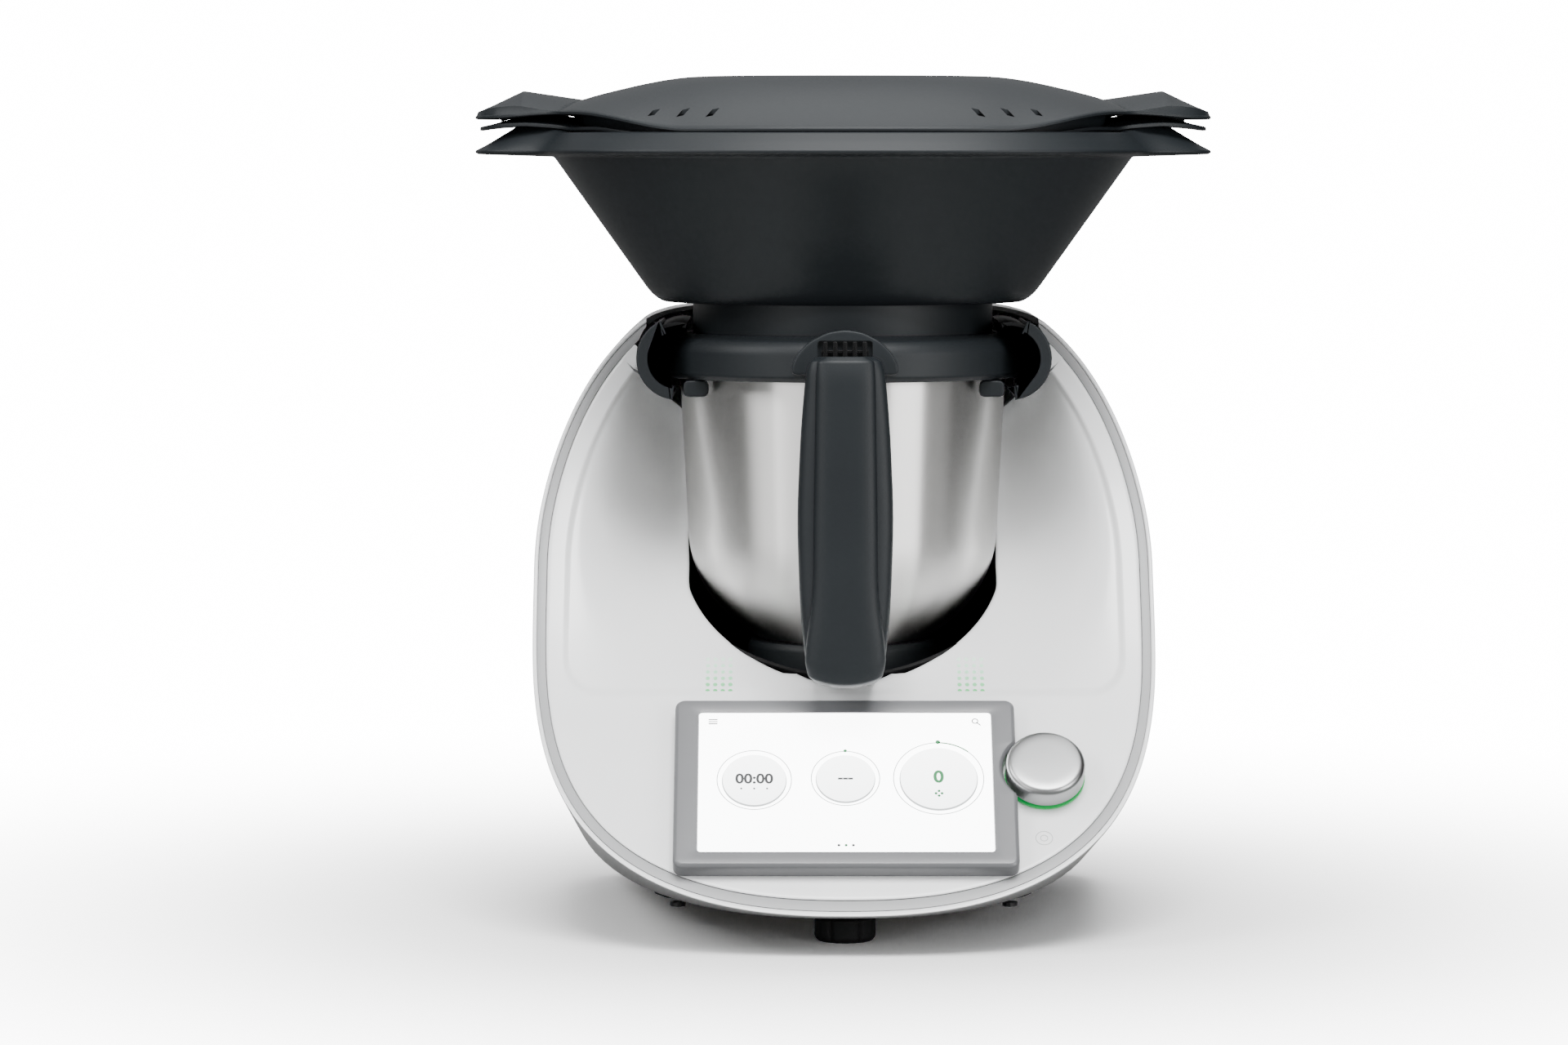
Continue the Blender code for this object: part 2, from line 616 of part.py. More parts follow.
def build_locks():
    for side, sign in (("left", -1), ("right", 1)):
        def facing(start, end):
            """Angles measured from the side that faces the bowl."""
            return (start, end) if sign < 0 else (180 - start, 180 - end)

        centre = (sign * ARM_X, ARM_Z)
        shell = plate("lock_cover_" + side, [sector(centre, 19.3, 20.6, *facing(115, 262), 13)],
                      -34, 50, SLATE, upright=True)
        cap = plate("cover_end_" + side, [sector(centre, 14.2, 21.4, *facing(114, 263), 13)],
                    -36.5, -33.8, upright=True)
        joined(shell, cap)

        axle = bpy.data.objects.new("lock_axis_" + side, None)
        COLLECTION.objects.link(axle)
        axle.location = (sign * ARM_X * MM, 0.0, ARM_Z * MM)
        at_axle = (0.0, 0.0)
        jaw = plate("lock_jaw_" + side, [sector(at_axle, 16.2, 18.8, *facing(75, 178), 10)],
                    -33.5, 85, BLACK, upright=True)
        web = plate("jaw_web_" + side, [sector(at_axle, 3.0, 18.5, *facing(77, 176), 10)],
                    84, 88.5, upright=True)
        stub = rods("jaw_axle_" + side, 5.0, [(0, 92.5, 0, 16)], axis="Y")
        joined(jaw, web, stub)
        for piece in (jaw, web, stub):
            place_on(piece, axle)
        low, high = sorted((sign * 83.2, sign * 70))
        blocks("lid_rest_" + side, [((low, -33, 272.5), (high, -26, 281.1))], SLATE)
        bearing = blocks("lock_gear_" + side, [((sign * ARM_X - 7.5, 90.8, ARM_Z - 20),
                                                (sign * ARM_X + 7.5, 98.4, ARM_Z + 7.6))], BLACK)
        cut(bearing, rods("gear_bore_" + side, 5.4, [(sign * ARM_X, 95, ARM_Z, 40)], axis="Y"))


def build_panel(panel):
    bezel = plate("display_bezel", [rounded_rectangle(*BEZEL_SIZE, 5)], 0.6, 9.1, BEZEL_GREY)
    window = plate("bezel_window", [rounded_rectangle(149.0, 88.8, 2)], -5, 20)
    notch = rods("knob_notch", 21.5, [(*KNOB_UV, 5, 40)], sides=32)
    cut(bezel, window, notch)
    screen = plate("touch_screen", [rounded_rectangle(*SCREEN_SIZE, 1.7)], 5.5, 8.8, GLASS)
    module = blocks("display_module", [((-72, -42, -8), (72, 42, 5.2))], ALUMINIUM)
    board = blocks("control_board", [((-62, -36, -14), (62, 36, -12.4))], BOARD)
    chips = blocks("board_chips", [((-40, -20, -17), (-18, 2, -13.6)), ((6, -12, -16), (34, 10, -13.6))])
    joined(board, chips)
    for piece in (bezel, window, notch, screen, module, board, chips):
        place_on(piece, panel)
    knob_axis = bpy.data.objects.new("knob_axis", None)
    COLLECTION.objects.link(knob_axis)
    place_on(knob_axis, panel, (*KNOB_UV, 0.0))
    origin = (0.0, 0.0, 0.0)
    light = ring("knob_light", 14, 20.3, 0.4, 1.4, GLOW, origin, 32)
    stem = rods("knob_stem", 4.0, [(0, 0, 0.35, 18.7)], STEEL)
    body = [(0, 14.6), (18.6, 14.6), (KNOB_R, 13.2), (KNOB_R, 3.0), (17.5, 3.0), (17.5, 10), (0, 10)]
    knob = turned("control_knob", body, ALUMINIUM, origin, 32)
    switch = blocks("knob_switch", [((-8, -8, -18), (8, 8, -10.6))], BLACK)
    for piece in (light, stem, knob, switch):
        place_on(piece, knob_axis)


# ---------------------------------------------------------------- steamer

def directions():
    """Directions round the steamer, closer together towards its end wings."""
    t = np.linspace(0, 2 * math.pi, RIM_STEPS, endpoint=False)
    return t - 0.25 * np.sin(2 * t)


def reach(half_x, half_y, power=OVAL_POWER):
    """Distance from the axis to a superellipse along each direction."""
    a = directions()
    return (np.abs(np.cos(a) / half_x) ** power + np.abs(np.sin(a) / half_y) ** power) ** (-1 / power)


def winged(rim, tip, half_depth=52.0):
    """Reach of an oval rim with a wing at each end, blended where they meet."""
    return (reach(*rim) ** 24 + reach(tip, half_depth, WING_POWER) ** 24) ** (1 / 24)


def plan(distance):
    """Plan position of the points at a distance along the directions, from the axis."""
    a = directions()
    return distance * np.cos(a), distance * np.sin(a)


def level_ring(distance, z):
    """Points at a distance along the directions; z is a height or one height per point."""
    x, v = plan(distance)
    return np.stack([x, v + AXIS_Y, z + np.zeros(RIM_STEPS)], 1)


def wing_arch(x, v, tip):
    """0 to 1: how far a lower wing is arched, highest 26 mm in from its tip."""
    rise = smooth((np.abs(x) - 118.0) / 34.0) * np.clip((tip - np.abs(x)) / 26.0, 0, 1)
    return rise * np.clip(1 - (v / 50.0) ** 2, 0, 1)


def lid_edge(x):
    """Height of the underside of the steamer lid's edge, rising towards the ends."""
    outward = np.abs(x)
    return SHOULDER_Z + GAP + 9.0 * smooth((outward - 80.0) / 62.0) - 2.2 * smooth((outward - 150.0) / 40.0)


def lid_top(x, v):
    """Top of the steamer lid: a flat-topped dome or, where it is higher, an arched wing."""
    ratio = ((np.abs(x) / STEAM_LID_RIM[0]) ** OVAL_POWER +
             (np.abs(v) / STEAM_LID_RIM[1]) ** OVAL_POWER) ** (1 / OVAL_POWER)
    edge = lid_edge(x) + 1.9
    dome = DOME_Z - (DOME_Z - edge) * np.clip((ratio - 0.48) / 0.52, 0, 1) ** 2
    outward = np.clip((WING_TIP - np.abs(x)) / 25.0, 0, 1)
    inward = np.minimum(1 - (168.0 - np.abs(x)) * 0.52 / 42.0, 1)
    lift = np.minimum(outward, inward)
    wing = 419.2 + 12.0 * lift * np.where(lift > 0, 1 - (v / 50.0) ** 2, 1)
    return np.maximum(dome, wing)


def build_dish():
    outer = winged(DISH_RIM, WING_TIP)
    inner = reach(148.2, 125.7)
    rings = [level_ring(reach(76.5, 76.5, 2), 302.6), level_ring(reach(79, 79, 2), 302.6),
             level_ring(reach(79, 79, 2), 320.7), level_ring(reach(95, 81), 320.7),
             level_ring(reach(101.2, 86), 325), level_ring(reach(151.9, 129), 396.5),
             level_ring(outer - 1.5, 397.8), level_ring(outer, 398.6), level_ring(outer, 399.8)]
    for share, height in ((0.3, 404.6), (0.62, SHOULDER_Z), (1.0, SHOULDER_Z)):
        distance = outer + (inner - outer) * share
        x, v = plan(distance)
        rings.append(level_ring(distance, height + 4.6 * share ** 0.3 * wing_arch(x, v, WING_TIP)))
    rings += [level_ring(reach(148.0, 125.5), 407.2), level_ring(reach(143.5, 121), 407.2),
              level_ring(reach(144, 121.5), 403), level_ring(reach(146, 123.5), 394),
              level_ring(reach(98.5, 83.2), 327.5), level_ring(reach(92, 78), 323.2),
              level_ring(reach(28, 28, 2), 323.2), level_ring(reach(28, 28, 2), 320.7),
              level_ring(reach(74, 74, 2), 320.7)]
    lofted("steamer_dish", rings, SLATE, wrap=True)


def build_tray():
    outer = winged(TRAY_RIM, TRAY_TIP, 50.0)

    def underside(distance):
        x, v = plan(distance)
        return 407.5 + 2.6 * smooth((np.abs(x) - 105.0) / 25.0) + 7.0 * wing_arch(x, v, TRAY_TIP)

    wall = reach(142.8, 120.3)
    inside = reach(141.0, 118.5)
    middle = (outer + wall) / 2
    rings = [level_ring(reach(128, 105), 374), level_ring(reach(131, 108), 376), level_ring(wall, 405),
             level_ring(wall, underside(wall)), level_ring(middle, underside(middle)),
             level_ring(outer, underside(outer)), level_ring(outer, underside(outer) + 1.8),
             level_ring(middle, underside(middle) + 1.9), level_ring(inside, underside(inside) + 1.9),
             level_ring(inside, 405), level_ring(reach(129, 106), 377), level_ring(reach(126, 103), 375.8)]
    tray = lofted("steamer_tray", rings, SLATE)
    slots = [((x - 15, AXIS_Y + v - 5, 365), (x + 15, AXIS_Y + v + 5, 385))
             for x in (-80, -40, 0, 40, 80) for v in (-48, 0, 48)]
    cut(tray, blocks("tray_slots", slots))


def build_steamer_lid():
    outer = winged(STEAM_LID_RIM, WING_TIP)
    x, v = plan(outer)
    edge = lid_edge(x)
    rings = [level_ring(outer, edge), level_ring(outer, edge + 1.9)]
    shares = (0.97, 0.9, 0.8, 0.68, 0.52, 0.3)
    for share in shares:
        x, v = plan(outer * share)
        rings.append(level_ring(outer * share, lid_top(x, v)))
    under = []
    for share in shares[::-1]:
        x, v = plan(outer * share)
        under.append(level_ring(outer * share, lid_top(x, v) - LID_SHEET))
    top = lofted("steamer_lid", under[:-1] + [level_ring(outer * 0.975, edge)] + rings, SLATE)
    slots = []
    for sx in (-1, 1):
        for distance in (66, 81, 96):
            for sy in (-1, 1):
                y = AXIS_Y + sy * 82
                slots.append(((sx * distance - 1.2, y - 5, 395), (sx * distance + 1.2, y + 5, 450)))
    cut(top, blocks("steam_slots", slots))


# ---------------------------------------------------------------- assembly

def build():
    global COLLECTION, CUTTERS
    for old in list(bpy.data.objects):
        bpy.data.objects.remove(old)
    COLLECTION = bpy.data.collections.new("steam_cooking_mixer")
    CUTTERS = bpy.data.collections.new("cutters")
    for group in (COLLECTION, CUTTERS):
        bpy.context.scene.collection.children.link(group)
    panel = bpy.data.objects.new("panel_frame", None)
    COLLECTION.objects.link(panel)
    panel.location = [value * MM for value in PANEL_ORIGIN]
    panel.rotation_euler = (math.radians(45), 0.0, 0.0)

    cutters = build_cutters()
    build_housings(cutters, panel)
    build_well(cutters)
    build_base()
    build_drive()
    build_bowl()
    build_knife()
    build_lid()
    build_handle()
    build_locks()
    build_panel(panel)
    build_dish()
    build_tray()
    build_steamer_lid()


build()
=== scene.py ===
"""Looks of a countertop heated mixing machine with a three-tier steamer stacked on its bowl.

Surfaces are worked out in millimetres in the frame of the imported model: origin on the
table, +X to the machine's right side, +Y to its back, +Z up. A piece is a grid of points,
rows along its profile and columns round it, that skin() turns into a closed mesh.
"""
import json
import math

import bmesh
import bpy
import numpy as np
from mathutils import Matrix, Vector

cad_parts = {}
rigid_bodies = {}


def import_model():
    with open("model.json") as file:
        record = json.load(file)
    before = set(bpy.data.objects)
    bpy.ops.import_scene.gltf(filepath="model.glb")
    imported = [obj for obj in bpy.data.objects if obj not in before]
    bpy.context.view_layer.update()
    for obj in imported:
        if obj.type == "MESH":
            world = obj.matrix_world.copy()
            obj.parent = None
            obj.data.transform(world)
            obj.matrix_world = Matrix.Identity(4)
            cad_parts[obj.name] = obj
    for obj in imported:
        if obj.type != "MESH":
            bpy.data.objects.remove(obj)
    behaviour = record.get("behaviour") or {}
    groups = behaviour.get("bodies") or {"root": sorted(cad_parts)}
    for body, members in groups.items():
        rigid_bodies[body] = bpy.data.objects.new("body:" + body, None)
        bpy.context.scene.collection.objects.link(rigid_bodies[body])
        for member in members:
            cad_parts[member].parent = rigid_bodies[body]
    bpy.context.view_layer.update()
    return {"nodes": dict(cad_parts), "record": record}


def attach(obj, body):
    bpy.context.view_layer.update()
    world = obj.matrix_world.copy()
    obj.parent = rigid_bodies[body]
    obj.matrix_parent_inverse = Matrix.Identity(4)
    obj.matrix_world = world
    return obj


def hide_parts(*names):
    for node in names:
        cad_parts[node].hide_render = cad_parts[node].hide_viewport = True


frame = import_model()

MM = 0.001

# Body of the machine.
BODY_HALF_WIDTH = 162.0
WIDEST_Z = 185.0
LIP_Z = 21.0
CROWN_Z = 334.0
TOP_Z = 317.0
FLOOR_Z = 12.0
SHELL = 2.4
FRONT_WALL = 3.0

# Bowl axis and the openings round it.
AXIS_Y = 25.0
WELL_LOW_R = 84.0
WELL_R = 88.5
LID_SPACE_R = 101.5
LEDGE_Z = 279.0
ARM_X = 86.0
ARM_Z = 292.5
ARM_HOLE_R = 23.0
CLEARANCE = 3.8              # between the front face's surface and the well behind it

# Control panel on the 45 degree slope.
PANEL = (0.0, -107.7, 76.3)
KNOB = (101.0, 8.9)
KNOB_R = 20.0

# Steamer ovals: half lengths and half depths.
DISH_RIM = (160.0, 137.0)
TRAY_RIM = (147.5, 125.0)
LID_RIM = (152.0, 130.0)
OVAL = 2.5                   # power of these superellipses
WING_TIP = 193.0
TRAY_TIP = 190.6
LID_SHEET = 2.3
LID_EDGE = 1.9               # height of the lid's rolled edge
SHOULDER_Z = 409.2
DOME_Z = 438.5
STEAMER_STEPS = 420

ROUND_STEPS = 176            # columns round a turned piece
BACKDROP = 16.0              # brightness of the white background
AMBIENT = 0.5                # brightness of the surroundings as light on the machine


# ---------------------------------------------------------------- surfaces

def smooth(t):
    """0 to 1 with level ends."""
    t = np.clip(t, 0.0, 1.0)
    return t * t * (3 - 2 * t)


def eased(rows, radii, closed=False, parts=4):
    """Round a path of rows: a quadratic curve cuts each corner, a radius before and after it."""
    rows = np.asarray(rows, float)
    count = len(rows)
    radii = np.broadcast_to(np.asarray(radii, float), (count,))
    eased_rows = []
    for k, radius in enumerate(radii):
        here = rows[k]
        if radius <= 0 or (not closed and k in (0, count - 1)):
            eased_rows.append(here)
            continue
        ends = []
        for other in (rows[k - 1], rows[(k + 1) % count]):
            length = np.linalg.norm(other - here, axis=-1, keepdims=True)
            ends.append(here + (other - here) * np.minimum(radius / np.maximum(length, 1e-6), 0.45))
        for t in np.linspace(0, 1, parts + 1):
            eased_rows.append((1 - t) ** 2 * ends[0] + 2 * t * (1 - t) * here + t * t * ends[1])
    return np.stack(eased_rows)


def placed(name, data):
    """A new object in the scene that holds this data."""
    made = bpy.data.objects.new(name, data)
    bpy.context.scene.collection.objects.link(made)
    return made


def meshed(name, points, faces):
    """Mesh of points in millimetres: those that coincide are welded, faces are turned outwards."""
    mesh = bpy.data.meshes.new(name)
    mesh.from_pydata((np.reshape(points, (-1, 3)) * MM).tolist(), [], faces)
    bm = bmesh.new()
    bm.from_mesh(mesh)
    bmesh.ops.remove_doubles(bm, verts=bm.verts, dist=2e-6)
    bmesh.ops.recalc_face_normals(bm, faces=bm.faces)
    bm.to_mesh(mesh)
    bm.free()
    return mesh


def skin(name, grid, rows_meet=False, columns_meet=True, sharp=40):
    """Closed mesh over a grid of points: open ends are capped and poles are welded."""
    rows, columns = grid.shape[:2]
    index = np.arange(rows * columns).reshape(rows, columns)
    caps = []
    if not rows_meet:
        caps += [index[0].tolist(), index[-1].tolist()]
    if not columns_meet:
        caps += [index[:, 0].tolist(), index[:, -1].tolist()]
    if rows_meet:
        index = np.concatenate([index, index[:1]])
    if columns_meet:
        index = np.concatenate([index, index[:, :1]], 1)
    faces = np.stack([index[:-1, :-1], index[:-1, 1:], index[1:, 1:], index[1:, :-1]], -1)
    mesh = meshed(name, grid, faces.reshape(-1, 4).tolist() + caps)
    mesh.shade_smooth()
    mesh.set_sharp_from_angle(angle=math.radians(sharp))
    return placed(name, mesh)


def lifted(outline, height):
    """A flat outline with a third figure: its height."""
    return np.column_stack([outline, np.full(len(outline), height)])


def circle(radius, height, centre=(0.0, AXIS_Y), count=ROUND_STEPS):
    """One level ring of points."""
    a = np.linspace(0, 2 * math.pi, count, endpoint=False)
    return np.stack([centre[0] + radius * np.cos(a), centre[1] + radius * np.sin(a), height + 0 * a], -1)


def turned(name, profile, radii=0.0, centre=(0.0, AXIS_Y), place=None, count=ROUND_STEPS, parts=4):
    """Profile of (radius, height) turned about an axis; closed on itself unless it ends on the axis."""
    closed = profile[0][0] > 0 or profile[-1][0] > 0
    rows = eased([circle(r, h, centre, count) for r, h in profile], radii, closed, parts)
    return skin(name, place(rows) if place else rows, rows_meet=closed)


def inset(outline, distance):
    """A closed outline moved inwards along its own normals."""
    along = np.roll(outline, -1, 0) - np.roll(outline, 1, 0)
    along = along / np.maximum(np.linalg.norm(along, axis=1, keepdims=True), 1e-9)
    ahead = np.roll(outline, -1, 0)
    area = np.sum(outline[:, 0] * ahead[:, 1] - ahead[:, 0] * outline[:, 1])
    inwards = np.stack([-along[:, 1], along[:, 0]], 1) * np.sign(area)
    return outline + inwards * distance


def slab(name, outline, low, high, edge, place=None, parts=3):
    """Flat outline between two heights, its edges rounded by a radius."""
    outline = np.asarray(outline, float)
    small = inset(outline, edge * 1.6)
    rows = [lifted(small, low), lifted(outline, low), lifted(outline, high), lifted(small, high)]
    rows = eased(rows, (0, edge, edge, 0), parts=parts)
    return skin(name, place(rows) if place else rows)


def rounded_polygon(points, radius, parts=5):
    """Closed outline through the points with its corners cut round."""
    return eased(np.asarray(points, float)[:, None], radius, closed=True, parts=parts)[:, 0]


def rounded_box(left, right, low, high, radius):
    """Closed outline of a rectangle between these sides with its corners cut round."""
    return rounded_polygon([(left, low), (right, low), (right, high), (left, high)], radius)


def rounded_rectangle(width, height, radius, across=24):
    """Outline of a rectangle with round corners, with points along its straight sides too."""
    x, y = width / 2 - radius, height / 2 - radius
    quarter = np.radians(np.linspace(0, 90, 7))
    points = []
    corners = ((x, y), (-x, y), (-x, -y), (x, -y))
    for k, (cx, cy) in enumerate(corners):
        a = quarter + k * math.pi / 2
        points.append(np.stack([cx + radius * np.cos(a), cy + radius * np.sin(a)], 1))
        start = points[-1][-1]
        end = np.array(corners[(k + 1) % 4]) + radius * np.array([math.cos(a[-1]), math.sin(a[-1])])
        points.append(start + (end - start) * np.linspace(0, 1, across + 1)[1:-1, None])
    return np.concatenate(points)


def arc(centre, radius, start, end, count=40):
    """Points along a circular arc, in degrees."""
    a = np.radians(np.linspace(start, end, count))
    return np.stack([centre[0] + radius * np.cos(a), centre[1] + radius * np.sin(a)], 1)


def upright(points):
    """Stand a flat drawing up: its second figure becomes the height and its third the depth."""
    return points[..., [0, 2, 1]]


def on_panel(points):
    """From the control panel's own frame, tilted 45 degrees, to the machine's."""
    u, v, n = points[..., 0], points[..., 1], points[..., 2]
    half = math.sqrt(0.5)
    return np.stack([PANEL[0] + u, PANEL[1] + (v - n) * half, PANEL[2] + (v + n) * half], -1)


def box_points(low, high):
    """Corners of a box as a grid of two rows, for cutters."""
    ring = np.array([(low[0], low[1]), (high[0], low[1]), (high[0], high[1]), (low[0], high[1])])
    return np.stack([lifted(ring, low[2]), lifted(ring, high[2])])


def evaluated(piece):
    """A new mesh of a piece as its modifiers or its curves make it."""
    depsgraph = bpy.context.evaluated_depsgraph_get()
    return bpy.data.meshes.new_from_object(piece.evaluated_get(depsgraph))


def carved(piece, *cutters, sharp=40):
    """Take the cutters out of a piece and keep the result as its mesh."""
    for cutter in cutters:
        step = piece.modifiers.new("carve", "BOOLEAN")
        step.object = cutter
    mesh = evaluated(piece)
    piece.modifiers.clear()
    piece.data = mesh
    mesh.set_sharp_from_angle(angle=math.radians(sharp))


def fit(piece, body, finish, *stands_for):
    """Put a finish on a piece, hang it on its body and hide the model nodes it stands for."""
    piece.data.materials.clear()
    piece.data.materials.append(FINISHES[finish])
    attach(piece, body)
    if stands_for:
        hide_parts(*stands_for)


# ---------------------------------------------------------------- finishes

def linear(code):
    """An sRGB hex colour as linear light."""
    channels = [int(code[i:i + 2], 16) / 255 for i in (1, 3, 5)]
    return [c / 12.92 if c <= 0.04045 else ((c + 0.055) / 1.055) ** 2.4 for c in channels] + [1.0]


def node(tree, kind, settings=None, links=None):
    """Add a shader node: settings are its options or socket values, links feed its sockets."""
    made = tree.nodes.new("ShaderNode" + kind)
    for key, value in (settings or {}).items():
        if isinstance(key, str) and hasattr(made, key):
            setattr(made, key, value)
        else:
            made.inputs[key].default_value = value
    for key, (source, output) in (links or {}).items():
        tree.links.new(source.outputs[output], made.inputs[key])
    return made


def blank(name):
    """A new material with its node tree and shader."""
    made = bpy.data.materials.new(name)
    made.use_nodes = True
    return made, made.node_tree, made.node_tree.nodes["Principled BSDF"]


def tune(shader, values):
    """Set sockets of a shader."""
    for socket, value in values.items():
        shader.inputs[socket].default_value = value


def speckle(tree, place, size, detail=2.0):
    """Noise with spots of a size in millimetres."""
    return node(tree, "TexNoise", {"Scale": 1000 / size, "Detail": detail}, {"Vector": (place, "Object")})


def relief(tree, shader, pattern, strength, depth):
    """Shade the surface as if a pattern stood out of it by a depth in millimetres."""
    bump = node(tree, "Bump", {"Strength": strength, "Distance": depth * MM}, {"Height": pattern})
    tree.links.new(bump.outputs[0], shader.inputs["Normal"])


def blend(tree, dark, light, share):
    """Mix two colours by the share that a node gives."""
    return node(tree, "Mix", {"data_type": "RGBA", 6: dark, 7: light}, {0: share})


def mottled(tree, shader, dark, light, patch, rough, spread):
    """Colour and roughness that drift between two values over patches of a size in millimetres."""
    place = node(tree, "TexCoord")
    cloud = speckle(tree, place, patch, 4.0)
    tint = blend(tree, linear(dark), linear(light), (cloud, 0))
    gloss = node(tree, "MapRange", {"To Min": rough - spread, "To Max": rough + spread}, {0: (cloud, 0)})
    tree.links.new(tint.outputs[2], shader.inputs["Base Color"])
    tree.links.new(gloss.outputs[0], shader.inputs["Roughness"])
    return place


def moulded(name, dark, light, rough, grain, depth, coat=0.0, strength=0.4, specular=0.5):
    """Injection-moulded plastic. The tool's grain, in millimetres, breaks up the gloss, and the
    colour drifts a little from thick to thin walls."""
    made, tree, shader = blank(name)
    place = mottled(tree, shader, dark, light, 45, rough, 0.03)
    relief(tree, shader, (speckle(tree, place, grain), 0), strength, depth)
    tune(shader, {"Specular IOR Level": specular, "Coat Weight": coat, "Coat Roughness": 0.12})
    return made


def brushed_steel():
    """Stainless steel brushed round its axis. Fine level scratches smear what it mirrors up and
    down but hardly sideways, so dark screens at its sides show as bands down to the bottom.
    Real scratches are near 0.1 mm; they are drawn 0.9 mm apart so that they show."""
    made, tree, shader = blank("brushed_stainless_steel")
    place = mottled(tree, shader, "#d2d1cf", "#dcdbd9", 90, 0.34, 0.02)
    stretch = node(tree, "Mapping", {"Scale": (18.0, 18.0, 1100.0)}, {"Vector": (place, "Object")})
    lines = node(tree, "TexNoise", {"Scale": 1.0, "Detail": 5.0, "Roughness": 0.7}, {"Vector": (stretch, 0)})
    relief(tree, shader, (lines, 0), 0.12, 0.05)
    round_axis = node(tree, "Tangent", {"direction_type": "RADIAL", "axis": "Z"})
    tree.links.new(round_axis.outputs[0], shader.inputs["Tangent"])
    tune(shader, {"Metallic": 1.0, "Anisotropic": 1.0, "Anisotropic Rotation": 0.25})
    return made


def turned_aluminium():
    """Aluminium turned on a lathe and satin anodised: soft, even sheen with faint lathe marks."""
    made, tree, shader = blank("satin_anodised_aluminium")
    place = mottled(tree, shader, "#9b9c9d", "#a9aaaa", 30, 0.33, 0.03)
    relief(tree, shader, (speckle(tree, place, 0.8), 0), 0.15, 0.03)
    tune(shader, {"Metallic": 1.0})
    return made


def enamelled_winding():
    """Enamelled copper wire: turns of about 1.2 mm round the stator with a varnish gloss."""
    made, tree, shader = blank("enamelled_copper_wire")
    place = mottled(tree, shader, "#8a4a22", "#b87442", 8, 0.32, 0.06)
    turns = node(tree, "TexWave", {"bands_direction": "Z", "Scale": 1000 / 1.2 / 20, "Distortion": 0.6},
                 {"Vector": (place, "Object")})
    relief(tree, shader, (turns, 1), 0.6, 0.4)
    tune(shader, {"Metallic": 0.8})
    return made


def printed_board():
    """Fibreglass board under green solder mask, with lighter tracks every 3 mm."""
    made, tree, shader = blank("solder_mask_board")
    place = node(tree, "TexCoord")
    tracks = node(tree, "TexBrick", {"Scale": 1000 / 12, "Color1": linear("#1d4733"),
                                     "Color2": linear("#1a3f2d"), "Mortar": linear("#2f6b4a"),
                                     "Mortar Size": 0.03}, {"Vector": (place, "Object")})
    tree.links.new(tracks.outputs[0], shader.inputs["Base Color"])
    tune(shader, {"Roughness": 0.4})
    return made


def lit_panel(name, dark, light, low, high, glow, rough=0.12):
    """Printing on a lit display: its tone runs evenly from the lower edge to the upper one, and
    the display's own light adds to it. On the dial faces the darker lower part is painted shade."""
    made, tree, shader = blank(name)
    place = node(tree, "TexCoord")
    split = node(tree, "SeparateXYZ", {}, {0: (place, "Object")})
    share = node(tree, "MapRange", {"From Min": low * MM, "From Max": high * MM}, {0: (split, 2)})
    tint = blend(tree, linear(dark), linear(light), (share, 0))
    for socket in ("Base Color", "Emission Color"):
        tree.links.new(tint.outputs[2], shader.inputs[socket])
    tune(shader, {"Emission Strength": glow, "Roughness": rough})
    return made


def make_finishes():
    """Every finish of the machine, by the record's slot or by a finer name of its own."""
    return {
        # ABS, high-gloss tool: a clear satin highlight with a trace of orange peel.
        "white_shell": moulded("gloss_white_abs", "#e6e7e8", "#eeefef", 0.3, 3.0, 0.02, 0.25, 0.1),
        # ABS, satin tool: dull highlight along the seam.
        "grey_trim": moulded("satin_grey_abs", "#8f9091", "#999a9b", 0.42, 0.9, 0.02),
        # Sprayed metallic lacquer on a die-cast frame: fine flakes and a soft sheen.
        "bezel_grey": moulded("grey_sprayed_lacquer", "#606163", "#6a6b6d", 0.36, 1.0, 0.01, 0.1),
        # Polypropylene, fine spark-eroded grain: nearly matt, lighter where it faces the light.
        "slate_plastic": moulded("slate_polypropylene", "#14181b", "#191d20", 0.5, 0.9, 0.03, specular=0.27),
        # Glass-filled polyamide: dark with a tight satin highlight.
        "black_plastic": moulded("black_polyamide", "#060607", "#08090a", 0.5, 0.9, 0.03, specular=0.2),
        # Floor screws: steel drawn dull and dark, a painted shade that keeps them in the shadow under the
        # machine.
        "screw_in_painted_shade": moulded("steel_darkened_as_painted_shade", "#141415", "#1b1b1c", 0.5, 1.0, 0.01),
        # Nitrile rubber: matt, dusty black.
        "rubber": moulded("nitrile_rubber", "#0c0c0d", "#111112", 0.75, 1.2, 0.06, specular=0.3),
        # Silicone: soft grey with a waxy dull sheen.
        "silicone": moulded("grey_silicone", "#808283", "#8f9192", 0.6, 1.4, 0.03),
        "steel": brushed_steel(),
        "aluminium": turned_aluminium(),
        "copper_winding": enamelled_winding(),
        "circuit_board": printed_board(),
        # Cover glass over a lit white display.
        "screen_glass": lit_panel("lit_white_display", "#f4f6f6", "#fdfefe", 45, 110, 9.0, 0.1),
        # Light pipe, translucent green and lit from below.
        "green_light": lit_panel("lit_green_pipe", "#0f9a48", "#159f4e", 60, 110, 0.5, 0.3),
        "status_dots": lit_panel("lit_green_dots", "#00853a", "#a9cdb6", 121, 140, 2.2, 0.5),
        # dial faces: white print, greyer towards the lower edge as painted shade of a raised disc
        "dial_face": lit_panel("display_dial_print_and_painted_shade", "#d3d6d7", "#f6f8f8", 60, 96, 5.0),
        "dial_ring": lit_panel("display_ring_print", "#a9adae", "#b7babb", 60, 100, 0.8),
        "dark_print": lit_panel("display_dark_print", "#1d2021", "#232627", 60, 100, 0.0, 0.4),
        "green_print": lit_panel("display_green_print", "#066b36", "#08783e", 60, 100, 0.2, 0.4),
        "faint_print": lit_panel("faint_grey_marking", "#a9abac", "#b0b2b3", 20, 120, 0.0, 0.35),
    }


# ---------------------------------------------------------------- body shape

